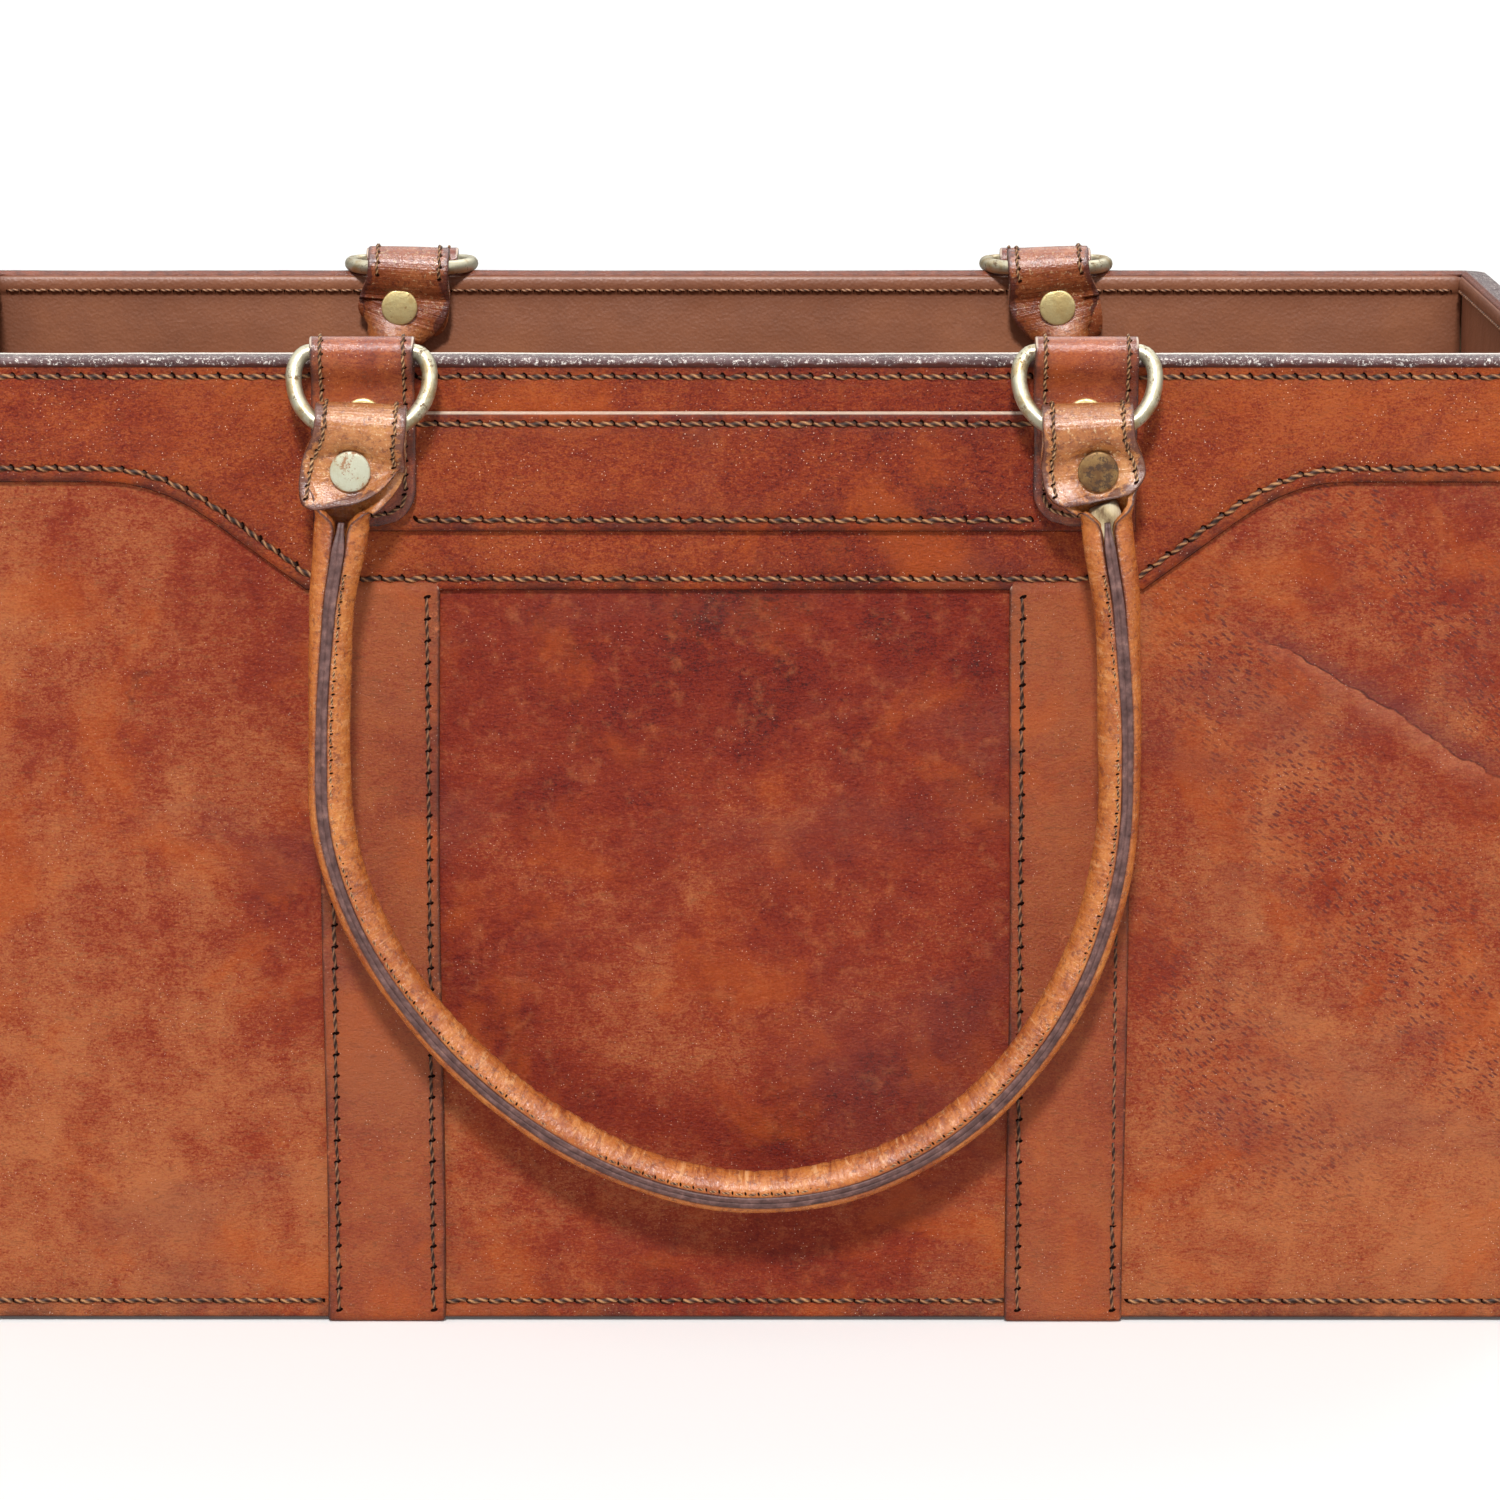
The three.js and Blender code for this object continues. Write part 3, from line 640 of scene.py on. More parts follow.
def rim_edge():
    """Burnished top edge of the walls: grey-lavender wax with pale chips, a brown inner layer, and a painted
    highlight line along the front rim's inner arris.
    """
    s = Shader("rim_edge")
    across = s.value("across")
    mid = s.noise(0.12, 8, 0.72, 4)
    fine = s.noise(1.3, 5, 0.75, 7)
    s.ramp(mid, [(0.3, (66, 40, 42)), (0.48, (96, 70, 70)), (0.6, (122, 98, 98)), (0.75, (170, 146, 142))])
    s.paint(fine.between(0.55, 0.6, 0.0, 0.85), (255, 246, 236))
    s.paint(s.noise(0.7, 5, 0.78, 17).between(0.56, 0.64, 0.0, 0.6), (62, 32, 32))
    wax = s.base
    s.ramp(s.noise(0.3, 6, 0.7), [(0.3, (92, 40, 24)), (0.7, (150, 76, 46))])
    s.paint(across.between(0.18, 0.26), wax)
    # Painted highlight: a pale line along the inner arris, on the front rim only, where the light catches it.
    pale = abs(across - 0.21).between(0.055, 0.085, 0.95, 0.0)
    s.paint(pale * s.axis(1).between(-92, -88, 1.0, 0.0), (255, 244, 230))
    s.paint((across + mid * 0.4 - 0.2).between(0.9, 0.96), (84, 38, 30))
    s.bump(mid, 0.4)
    s.bump(fine, 0.25)
    return s.finish(0.2 + mid * 0.2, Specular_IOR_Level=0.6)


def lining_leather():
    """Satin milk-chocolate lining with a fine even grain, and painted shade in its corners, along its bottom
    and under its hem.
    """
    s = Shader("lining_leather")
    mid = s.noise(0.08, 4, 0.6, 3)
    mixed = s.noise(0.014, 4, 0.6, 5) * 0.7 + mid * 0.4 - 0.05
    s.ramp(mixed, [(0.2, (172, 112, 78)), (0.5, (148, 92, 64)), (0.8, (122, 73, 50))])
    # Painted shade: darker within a few millimetres of the lining's inside corners, its bottom and the line
    # under its hem.
    s.paint(s.value("edge").fade(5) * 0.5, (84, 48, 34))
    s.paint(s.noise(1.2, 3, 0.7).between(0.45, 0.75, 0.0, 0.25), (104, 62, 44))
    s.bump(s.noise(0.03, 3, 0.5), 1.2)
    s.bump(s.cells(1.1), 0.07)
    s.bump(s.noise(0.45, 4, 0.6, warp=1.0), 0.1)
    return s.finish(0.33 + mid * 0.2, Coat_Weight=0.08, Coat_Roughness=0.3)


def thread(name, pale, deep):
    """Waxed two-ply thread: painted shade in the groove between the plies, and each ply's crown painted
    paler.
    """
    s = Shader(name)
    fibre = s.noise(2.4, 4, 0.75)
    # Painted shade: darker where the ply value marks the groove between plies, paler on the crowns.
    mixed = s.value("ply") * 0.34 + s.value("tint") * 0.2 + fibre * 0.55 - 0.02
    s.ramp(mixed, [(0.1, [c * 0.42 for c in deep]), (0.4, deep), (0.85, pale)])
    s.bump(fibre, 0.12)
    return s.finish(0.5, Specular_IOR_Level=0.35)


def metal(name, clean, worn, stain, wear, rough, shift=0.0, shine=0.8, spots=0.58):
    """Plated metal with the plating rubbed through to a darker tone, dull spots and fine scratches."""
    s = Shader(name, shift)
    patch = s.noise(0.16, 5, 0.65, 2)
    scratch = s.noise((4.5, 4.5, 0.5), 3, 0.6, turn=(0.4, 0.9, 0.3))
    s.base = linear(clean)
    s.paint(patch.between(0.46, 0.62, 0.0, wear), worn)
    s.paint(scratch.between(0.5, 0.7, 0.0, 0.3), worn)
    dots = s.noise(0.4, 6, 0.78, 6).between(spots, spots + 0.07, 0.0, 0.85)
    s.paint(dots, stain)
    s.bump(s.noise(0.5, 3, 0.6), 0.14)
    s.bump(scratch, 0.03)
    return s.finish(rough + patch * 0.16 + dots * 0.3 + scratch * 0.08, Metallic=shine - dots * (shine * 0.7))


# An awl hole is a flat disc laid just over the surface: its near-black colour is painted shade standing for
# the hole's depth.
def hole():
    s = Shader("awl_hole")
    mid = s.noise(1.5, 2, 0.5)
    s.ramp(mid, [(0.2, (12, 6, 5)), (0.8, (30, 14, 10))])
    s.bump(mid, 0.05)
    return s.finish(0.95, Specular_IOR_Level=0.0)


def cord():
    s = Shader("cotton_cord")
    fibre = s.noise((1.8, 1.8, 0.5), 5, 0.75)
    # Painted shade in the grooves between the cord's plies, paler on their crowns.
    mixed = s.value("ply") * 0.25 + fibre * 0.7 + 0.1
    s.ramp(mixed, [(0.15, (122, 96, 62)), (0.5, (206, 184, 140)), (0.9, (236, 224, 192))])
    s.bump(fibre, 0.5)
    return s.finish(0.95, Sheen_Weight=0.3)


def board():
    """Grey-brown fibre board."""
    s = Shader("fibre_board")
    fibre = s.noise(0.9, 6, 0.75, warp=1.5)
    s.ramp(fibre, [(0.25, (112, 96, 74)), (0.6, (158, 140, 112)), (0.9, (184, 168, 140))])
    s.bump(fibre, 0.2)
    return s.finish(0.92)


body_leather = leather("body_leather", (172, 98, 56), (136, 46, 20), (106, 21, 9), pores=0.9, shine=0.22,
                       gloss=0.34)
side_leather = leather("side_leather", (170, 94, 54), (136, 52, 26), (106, 22, 10), shift=21, pores=0.5,
                       shine=0.2)
trim_leather = leather("trim_leather", (166, 80, 34), (136, 48, 18), (104, 22, 10), shift=4, edge_reach=3.6,
                       edge_dark=0.95, streak=0.1, grit=1.5, painted_glints=0.9, shine=0.22, gloss=0.33)
strap_leather = leather("strap_leather", (160, 84, 44), (140, 58, 30), (104, 34, 18), (60, 20, 14), shift=9,
                        edge_reach=2.0, scuff=0.5, streak=0.3)
tab_leather = leather("tab_leather", (190, 104, 56), (144, 64, 40), (96, 36, 28), (60, 28, 30), shift=13,
                      edge_reach=3.2, edge_dark=0.95, gloss=0.22, grain=1.3, shine=0.8, painted_glints=1.0,
                      relief=0.4)
handle_skin = handle_leather()
seam_edge = edge_paint()
rim_wax = rim_edge()
lining_skin = lining_leather()
tan_thread = thread("tan_thread", (206, 152, 100), (94, 54, 36))
grey_thread = thread("grey_thread", (168, 120, 84), (84, 50, 36))
fine_thread = thread("fine_thread", (224, 182, 130), (122, 78, 50))
lining_thread = thread("lining_thread", (222, 176, 138), (150, 100, 72))
awl_hole = hole()
ring_metal = metal("ring_metal", (204, 198, 172), (172, 142, 88), (104, 74, 44), 0.7, 0.26, shine=0.75,
                   spots=0.55)
bright_brass = metal("bright_brass", (240, 222, 160), (214, 180, 112), (140, 98, 50), 0.5, 0.24, 3, shine=0.6)
nickel = metal("nickel", (206, 206, 182), (186, 176, 140), (150, 92, 44), 0.6, 0.3, 5, shine=0.3, spots=0.53)
dark_brass = metal("dark_brass", (150, 116, 70), (112, 76, 44), (66, 44, 30), 0.9, 0.34, 8, shine=0.4,
                   spots=0.5)
cotton = cord()
fibre_board = board()


# ---------------------------------------------------------------- the walls
yoke_lines = {side: yoke_line(side) for side in SIGNS}


def body_tone(side, u, v):
    """Darker dye high on a wall and towards its middle, darker along the inside of the handle's curve, and
    painted shadow with a stain below it low in the middle under the handle.
    """
    tone = 0.24 + 0.3 * ease(v, 30, 130)
    if side == "front":
        out = np.abs(u)
        middle = 1 - ease(out, STRAP_X - STRAP_HALF - 6, STRAP_X)
        reach = np.hypot(u / 98.0, np.minimum(0, v - 136) / 102.0)
        halo = hump(reach, 0.84, 0.1) * ease(136 - v, 0, 60)
        tone = tone + middle * (0.26 + 0.42 * halo + 0.2 * ease(v, 120, 180) * ease(u, -80, 50))
        tone = tone - 0.14 * middle * ease(-v, -50, -10) - 0.1 * middle * hump(v, 90, 30) * (1 - halo)
        tone = tone - 0.12 * ease(-u, 110, 150) + 0.1 * hump(u, -112, 9)
        # Painted shadow under the handle's bowl, with a stain below it: darker low in the middle of the
        # front.
        tone = tone - 0.04 * ease(u, 110, 150) + 0.4 * middle * hump(v, 16, 14) * ease(70 - out, 0, 30)
    return tone


def yoke_tone(side, u, v):
    tone = 0.5 + 0.12 * np.sin(u / 34 + 0.6)
    if side == "front":
        tone = tone + 0.14 * (1 - ease(np.abs(u), 60, 110)) - 0.1 * ease(u, 105, 140)
    return tone


def wall_panel(side, material, half, face, thick, step, bevel):
    node = side + "_panel"
    panel = sheet(side, half, level(FLOOR - 1), RIM, face, thick, step, bevel, 3.5, body_tone)
    mesh(node + "_leather", [panel], [material], node=node)


def wall_trim(node, side, half, lower, upper, face, thick, bevel, seam):
    trim = sheet(side, half, lower, upper, face, thick - GLUE, 6, bevel, seam, yoke_tone)
    mesh(node + "_leather", [trim], [trim_leather], node=node)


for side, line in yoke_lines.items():
    wall_panel(side, body_leather, HALF_LENGTH, HALF_DEPTH, panel_high[1] - panel_low[1], 4, 0.8)
    thick = yoke_high[1] - yoke_low[1]
    wall_trim(side + "_yoke", side, yoke_high[0], line, RIM, YOKE_FACE, thick, 1.9, 3.7)
    thick, lower = band_high[1] - band_low[1], level(band_low[2])
    wall_trim(side + "_band", side, band_high[0], lower, band_high[2], BAND_FACE, thick, 1.6, 3.0)

for side in ("left_side", "right_side"):
    wall_panel(side, side_leather, HALF_SIDE, HALF_LENGTH, side_high[0] - side_low[0], 5, 0.6)
    half = (side_yoke_high[1] - side_yoke_low[1]) / 2
    thick = side_yoke_high[0] - side_yoke_low[0]
    wall_trim(side + "_yoke", side, half, level(side_yoke_low[2]), RIM, side_yoke_high[0], thick, 0.6, 3.6)


# ---------------------------------------------------------------- lining
HEM = 5.2
LINING_BACK = 1.1  # how far behind its face a lining ends


def lining_wall(side):
    """The lining of a wall, seen from inside: padded a little, with a rolled hem under the rim."""
    half, face = (INNER_END, INNER_FACE) if side in SIGNS else (INNER_FACE, INNER_END)
    node = side + "_lining"
    low = box(node)[0][2]
    top = RIM - 0.3
    hem = top - HEM
    heights = np.concatenate([spread(low, hem - 0.6, 6), hem - 0.3 + np.linspace(0, HEM + 0.2, 12)])
    u, v = np.meshgrid(spread(-half, half, 5), heights)
    end = half - np.abs(u)
    soft = ease(end, 0, 26) * ease(v, low, low + 30) * ease(hem - v, 0, 14)
    pad = soft * (0.55 + 0.35 * np.sin(u / 38 + 1.1) * np.sin(v / 27 + 0.4))
    bead = 0.95 * np.sqrt(np.clip(np.sin(np.pi * np.clip((v - hem) / HEM, 0, 1)), 0, 1))
    corner = 0.35 * (1 - ease(end, 0, 2.5))
    front = walls(side, u, v, face - pad - bead + corner + 0.4 * skin(side, u, v))
    edge = np.minimum.reduce([end, v - low, 0.4 + 2.5 * np.abs(v - hem)])
    lining = shell(front, walls(side, u, v, face + LINING_BACK), edge, flip=True)
    mesh(node + "_leather", [lining], [lining_skin], node=node)
    line = walls(side, np.linspace(3 - half, half - 3, 200), hem + 1.1, face - 0.72)
    seam = stitch_parts(line, -outward(side), pitch=3.9, width=0.36, slant=4, hole=0.42, fill=0.86, lean=20,
                        proud=0.24)
    mesh(node + "_thread", seam, [lining_thread, awl_hole])


for side in SIDES:
    lining_wall(side)


def flat_sheet(node, material, sag, edge_up):
    """A level leather sheet, its edges rounded above or below, with a soft unevenness on top."""
    low, high = box(node)
    x, y = np.meshgrid(*(spread(low[k], high[k], 7) for k in range(2)))
    edge = np.minimum.reduce([x - low[0], high[0] - x, y - low[1], high[1] - y])
    drop = rounded(edge, 0.5)
    wave = sag * ease(edge, 0, 30) * (0.5 + 0.5 * np.sin(x / 41 + 0.5) * np.sin(y / 29 + 1.2))
    top = np.stack([x, y, high[2] - drop + wave], -1)
    base = np.stack([x, y, low[2] + (0 * drop if edge_up else drop)], -1)
    mesh(node + "_leather", [shell(top, base, edge, 1, tone=0.35)], [material], node=node)


flat_sheet("base_lining", lining_skin, 0.5, True)
flat_sheet("base_panel", side_leather, 0.0, False)


# ---------------------------------------------------------------- rim
def rim():
    """The waxed edge that closes the layers of all four walls at the top."""
    outer = np.array([yoke_high[0], YOKE_FACE]) + 0.15
    inner = np.array([INNER_END, INNER_FACE]) - 0.15
    thick = outer[1] - inner[1]
    turn = 3.4
    corners = [((outer + inner) / 2 - turn) * signs for signs in ([1, -1], [1, 1], [-1, 1], [-1, -1])]
    path, out = [], []
    for k, corner in enumerate(corners):
        for angle in (k - 1) * np.pi / 2 + np.linspace(0, np.pi / 2, 7):
            out.append(np.array([np.cos(angle), np.sin(angle)]))
            path.append(corner + turn * out[-1])
        straight = corners[(k + 1) % 4] - corner
        start = path[-1]
        for t in np.linspace(0, 1, int(np.linalg.norm(straight) / 5) + 1)[1:-1]:
            path.append(start + straight * t)
            out.append(out[-1])
    path, out = np.array(path), np.array(out)
    run = np.arange(len(path))
    wave = 0.16 * np.sin(run / 5.3) + 0.12 * np.sin(run / 2.1 + 1) + RNG.normal(0, 0.05, len(path))
    half = thick / 2
    s = -np.cos(np.linspace(0, np.pi, 31)) * half
    crown = np.sqrt(np.clip(1 - (s / half) ** 4, 0, 1)) - 0.4
    across = np.concatenate([[0], (s + half) / thick * 0.8 + 0.05, [1.0]])
    s = np.concatenate([[-half], s, [half]])
    h = np.concatenate([[-1.4], crown, [-2.1]])
    groove = 0.06 * hump(across, 0.42, 0.035) - 0.34 * hump(across, 0.2, 0.035)
    z = RIM + h + (0.4 * wave[:, None] - groove) * (h > -1)
    xy = path[:, None] + s[:, None] * out[:, None]
    loops = np.stack([xy[..., 0], MIDDLE_Y + xy[..., 1], z], -1)
    faces = grid_faces(len(path), len(s), wrap=True, closed=True, flip=True)
    return Part(loops, faces, across=np.tile(across, len(path)))


mesh("rim_edge_wax", [rim()], [rim_wax])


# ---------------------------------------------------------------- straps
def wrap_strap(node):
    """A strap down the front, under the base and up the back."""
    low, high = box(node)
    x = (low[0] + high[0]) / 2
    top = high[2] + 2.5
    radius = 3.0
    bend = low[2] + radius
    front, back = low[1] + radius, high[1] - radius
    corner = [(np.cos(a), np.sin(a)) for a in np.linspace(0, np.pi / 2, 6)]
    path = [(low[1] - skin("front", x, z), z, -1, 0) for z in np.arange(top, bend, -3.0)]
    path += [(front - radius * c, bend - radius * s, -c, -s) for c, s in corner]
    path += [(y, low[2], 0, -1) for y in np.linspace(front, back, 40)[1:-1]]
    path += [(back + radius * c, bend - radius * s, c, -s) for c, s in corner[::-1]]
    path += [(high[1] + skin("back", -x, z), z, 1, 0) for z in np.arange(bend, top, 3.0)[1:]]
    y, z, normal_y, normal_z = np.array(path, float).T
    nothing = np.zeros(len(path))
    wander = 0.35 * np.sin(np.arange(len(path)) / 9.0 + x)
    centres = np.stack([x + wander, y, z], 1)
    normals = np.stack([nothing, normal_y, normal_z], 1)
    sides = np.stack([nothing - 1, nothing, nothing], 1)
    half = (high[0] - low[0]) / 2 - 0.1
    strip = ribbon(centres, sides, normals, nothing + half, 1.85, 0.9)
    strip.values["tone"] = 0.3 + 0.12 * np.sin(strip.points[:, 2] / 23 + x)
    mesh(node + "_leather", [strip], [strap_leather], node=node)


wrap_strap("left_wrap_strap")
wrap_strap("right_wrap_strap")


# ---------------------------------------------------------------- seams of the walls
# How far each seam lies in from the edge that it follows
RIM_SEAM, YOKE_SEAM = 4.5, 3.7
BAND_TOP_SEAM, BAND_BOTTOM_SEAM = 3.0, 3.1
PANEL_SEAM, PANEL_END_SEAM = 3.5, 4.0
STRAP_SEAM = 3.0


def seam_mesh(name, seams, thread_material, body="root"):
    mesh(name, seams, [thread_material, awl_hole], body)


def span(middle, half):
    return middle - half, middle + half


def long_wall_seams(side, line):
    """The seams of the front or the back."""
    tabs = [span(-TAB_X, TAB_HALF), span(TAB_X, TAB_HALF)]
    straps = [span(-STRAP_X, STRAP_HALF), span(STRAP_X, STRAP_HALF)]
    reach = HALF_LENGTH - 1
    inner = TAB_X - TAB_HALF
    slope = np.gradient(line[:, 1], line[:, 0])
    raised = line + unit(np.stack([-slope, np.ones(len(line))], 1)) * YOKE_SEAM
    raised = raised[np.argsort(raised[:, 0])]
    raised[0, 0], raised[-1, 0] = -reach, reach
    seams = wall_stitches(side, raised, YOKE_FACE)
    seams += level_seam(side, reach, RIM - RIM_SEAM, YOKE_FACE, tabs)
    seams += level_seam(side, inner, band_high[2] - BAND_TOP_SEAM, BAND_FACE)
    seams += level_seam(side, inner + 10, band_low[2] + BAND_BOTTOM_SEAM, BAND_FACE, tabs)
    seam_mesh(side + "_yoke_thread", seams, tan_thread)
    panel_seams(side, HALF_LENGTH, reach, HALF_DEPTH, straps)
    places = [u for middle in (-STRAP_X, STRAP_X) for u in span(middle, STRAP_HALF - STRAP_SEAM)]
    seams = upright_seams(side, places, yoke_low[2] - 1.5, 3.5, YOKE_FACE, width=0.42, slant=4, proud=0.24,
                          aside=0.15, lean=20)
    seam_mesh(side + "_strap_thread", seams, grey_thread)


def short_wall_seams(side):
    """The seams of the left or the right side."""
    reach = HALF_DEPTH - 4
    seams = level_seam(side, reach, side_yoke_low[2] + YOKE_SEAM, side_yoke_high[0])
    seams += level_seam(side, reach, RIM - RIM_SEAM, side_yoke_high[0])
    seam_mesh(side + "_yoke_thread", seams, tan_thread)
    panel_seams(side, HALF_SIDE, HALF_SIDE - 2, HALF_LENGTH)


def panel_seams(side, half, reach, face, skip=()):
    """The seams along a panel's lower edge and its two ends."""
    seams = level_seam(side, reach, FLOOR + PANEL_SEAM, face, skip)
    seams += upright_seams(side, span(0, half - PANEL_END_SEAM), FLOOR + 8, side_yoke_low[2] - 2, face)
    seam_mesh(side + "_panel_thread", seams, tan_thread)


for side, line in yoke_lines.items():
    long_wall_seams(side, line)
short_wall_seams("left_side")
short_wall_seams("right_side")


# ---------------------------------------------------------------- rivets
CAP = 1.4  # height of a rivet's cap
POST = 2.0  # radius of its post
DENT = 0.006


def turned(profile, centre, y, sign, sides=36, dent=DENT):
    """A form turned about a line along Y: its profile pairs are radius and height towards the sign."""
    phi = np.arange(sides) / sides * 2 * np.pi
    wobble = 1 + dent * (0.5 * np.sin(3 * phi + 0.7) + 0.3 * np.sin(5 * phi))
    loops = []
    for radius, height in profile:
        x = centre[0] + sign * radius * wobble * np.cos(phi)
        z = centre[2] - radius * wobble * np.sin(phi)
        loops.append(np.stack([x, np.full(sides, y + sign * height), z], 1))
    return loft(loops)


def dome(radius, height):
    """A pressed cap: a short upright rim, a rounded shoulder and a shallow crown."""
    shape = [(0.97, 0), (1, 0.12), (1, 0.42), (0.985, 0.56), (0.95, 0.66), (0.9, 0.72), (0.8, 0.79),
             (0.62, 0.88), (0.4, 0.95), (0.2, 0.99), (0.01, 1)]
    return [(radius * r, height * h) for r, h in shape]


def rivet(node, body, material, sign, radius, small, inset, overlap, sides=36):
    """A cap that faces the sign along Y, and a post through to the small cap, inset from the other end."""
    low, high = box(node)
    near, far = (low, high)[::-sign]
    centre = (low + high) / 2
    outer = near[1] - sign * CAP
    inner = far[1] + sign * inset
    reach = abs(outer - inner)
    post = turned([(POST, -reach - overlap), (POST, overlap)], centre, outer, sign, 20, 0)
    caps = [turned(dome(radius, CAP), centre, outer, sign), turned(small, centre, inner, -sign, sides)]
    mesh(node + "_caps", [*caps, post], [material], body, node)


HANDLE_CAPS = {("front", "left"): nickel, ("front", "right"): dark_brass}
for side, sign in SIGNS.items():
    proud = 0.7 if side == "back" else 0.0
    for hand in HANDS:
        node = f"{side}_{hand}_tab_rivet"
        radius = (box(node)[1][0] - box(node)[0][0]) / 2
        rivet(node, "root", bright_brass, sign, radius, dome(0.8 * radius, 0.85), 0.8, 0.2, 28)
        material = HANDLE_CAPS.get((side, hand), bright_brass)
        node = f"{side}_{hand}_handle_rivet"
        rivet(node, side + "_handle", material, sign, 5.0, dome(5.0, CAP), CAP - proud, 0)


# ---------------------------------------------------------------- rings
def ring_path():
    """A D-ring's middle line, across and down from its bar: bar, tight corners, round bottom."""
    bar, wide, deep, drop, round_share = 12.6, 16.75, 6.3, 21.3, 0.6
    low = deep + round_share * (drop - deep)
    a = np.linspace(0, np.pi / 2, 9)
    corner = np.stack([bar + (wide - bar) * np.cos(a), deep - deep * np.sin(a)], 1)
    bottom = bezier((wide, deep), (wide, low), (round_share * wide, drop), (0, drop), 16)
    points = [np.stack([np.linspace(-bar, bar, 12), np.zeros(12)], 1), corner[-2::-1], bottom[1:]]
    points += [bottom[-2::-1] * [-1, 1], corner[1:-1] * [-1, 1]]
    return np.concatenate(points)


def ring(side, hand):
    """A D-ring's wire, hung from its bar towards its handle's axis."""
    node = f"{side}_{hand}_ring"
    low, high = box(node)
    bar_y = MIDDLE_Y + SIGNS[side] * BAR_OUT
    axis_y, axis_z = handle_axis[side]
    path = ring_path()
    down = unit(np.array([0, axis_y - bar_y, axis_z - BAR_Z]))
    across = np.array([1.0, 0, 0])
    facing = np.cross(across, down)
    points = [(low[0] + high[0]) / 2, bar_y, BAR_Z] + path[:, :1] * across + path[:, 1:] * down
    tangent = unit(np.roll(points, -1, 0) - np.roll(points, 1, 0))
    phi = np.arange(16)[:, None] / 16 * 2 * np.pi
    run = np.arange(len(points))
    radius = 1.98 * (1 + 0.012 * np.sin(run * 0.9) + 0.01 * np.sin(run * 2.3 + 1))
    round_wire = np.cos(phi) * np.cross(facing, tangent)[:, None] + np.sin(phi) * facing
    loops = points[:, None] + radius[:, None, None] * round_wire
    faces = grid_faces(len(points), 16, wrap=True, closed=True)
    mesh(node + "_wire", [Part(loops, faces)], [ring_metal], node, node)


LEATHER = 1.8  # thickness of a handle's leather
LOOP_RADIUS = 6.0
handle_axis = {}
for side, sign in SIGNS.items():
    low, high = box(side + "_handle_cover")
    near = (low, high)[::-sign][0]
    handle_axis[side] = (near[1] - sign * LOOP_RADIUS, high[2] - LOOP_RADIUS)
for side in SIGNS:
    for hand in HANDS:
        ring(side, hand)


# ---------------------------------------------------------------- tabs that hold the rings
TAB_THICK = 1.5
TAB_JOIN = 32.5  # height from a tab's lower end to where its leaves part round the bar
TAB_CORNER = 9.0
TAB_SEAM = 2.6


def ring_tab(side, hand):
    """One strip folded over the ring's bar, its two leaves riveted and stitched together."""
    node = f"{side}_{hand}_ring_tab"
    low, high = box(node)
    x = (low[0] + high[0]) / 2
    lower = tab_low[2]
    inner = BAND_FACE + 0.1
    outside = inner + 2 * TAB_THICK
    join = lower + TAB_JOIN
    near, far = BAR_OUT - TAB_BEND, BAR_OUT + TAB_BEND
    rise = bezier((inner, join), (inner, BAR_Z - 6), (near, BAR_Z - 5), (near, BAR_Z), 9)
    fold = [(BAR_OUT - TAB_BEND * np.cos(a), BAR_Z + TAB_BEND * np.sin(a)) for a in np.linspace(0, np.pi, 17)]
    down = bezier((far, BAR_Z), (far, BAR_Z - 5), (outside, BAR_Z - 6), (outside, join), 9)
    back_leaf = [(inner + 0.02, z) for z in np.linspace(lower, join, 22)]
    front_leaf = [(outside, z) for z in np.linspace(join, lower, 26)]
    path = np.concatenate([back_leaf, rise[1:], fold[1:], down[1:], front_leaf[1:]])
    tangent = unit(np.gradient(path, axis=0))
    half = TAB_HALF - rounded(path[:, 1] - lower, TAB_CORNER) + 0.12 * np.sin(np.arange(len(path)) / 4.0 + x)
    sign = SIGNS[side]
    points = np.stack([np.full(len(path), x), MIDDLE_Y + sign * path[:, 0], path[:, 1]], 1)
    normals = np.stack([np.zeros(len(path)), -sign * tangent[:, 1], tangent[:, 0]], 1)
    sides = np.cross(unit(np.gradient(points, axis=0)), normals)
    strip = ribbon(points, sides, normals, half, TAB_THICK - 0.02, 0.45)
    strip.values["tone"] = 0.5
    strip.values["edge"] = np.minimum(strip.values["edge"], np.maximum(strip.points[:, 2] - lower, 0))
    mesh(node + "_leather", [strip], [tab_leather], node=node)

    style = dict(pitch=3.6, width=0.4, slant=6, hole=0.7, proud=0.24, lean=24)
    inset = TAB_HALF - TAB_SEAM
    keep = (path[:, 0] > BAR_OUT - 1.0) & (path[:, 1] > lower + 8)
    seams = []
    for end in (-1, 1):
        seams += stitch_parts(points[keep] + [end * inset, 0, 0], normals[keep], **style)
    a = np.linspace(np.pi, 2 * np.pi, 24)
    along = x + inset * np.sign(np.cos(a)) * np.abs(np.cos(a)) ** 0.7
    curve = np.stack([along, np.full(24, MIDDLE_Y + sign * outside), lower + 8 + 5.4 * np.sin(a)], 1)
    seams += stitch_parts(curve, (0, sign, 0), **style)
    seam_mesh(node + "_thread", seams, fine_thread)


for side in SIGNS:
    for hand in HANDS:
        ring_tab(side, hand)


# ---------------------------------------------------------------- handles
# A handle's own frame: its origin is midway along the axis of its loops, and Y points to its back.
TUBE = 5.4  # outer radius of the roll
MID = TUBE - LEATHER / 2
CLOSED = 2 * math.pi - 0.5  # angle that the closed roll covers
MOUTH = -19.5
NEAR = [-9.3, -7, -4, -1.5, 0.3, 2.2, 4, 6, 14]
CURL = [0.08, 0.55, 1.5, 2.7, 3.9, 4.9, 5.6, CLOSED, CLOSED]
FLAP_END = -18.4
FLAP_ROWS, PRESSED_ROWS = 11, 19
BACK = np.array([0, 1.0, 0])
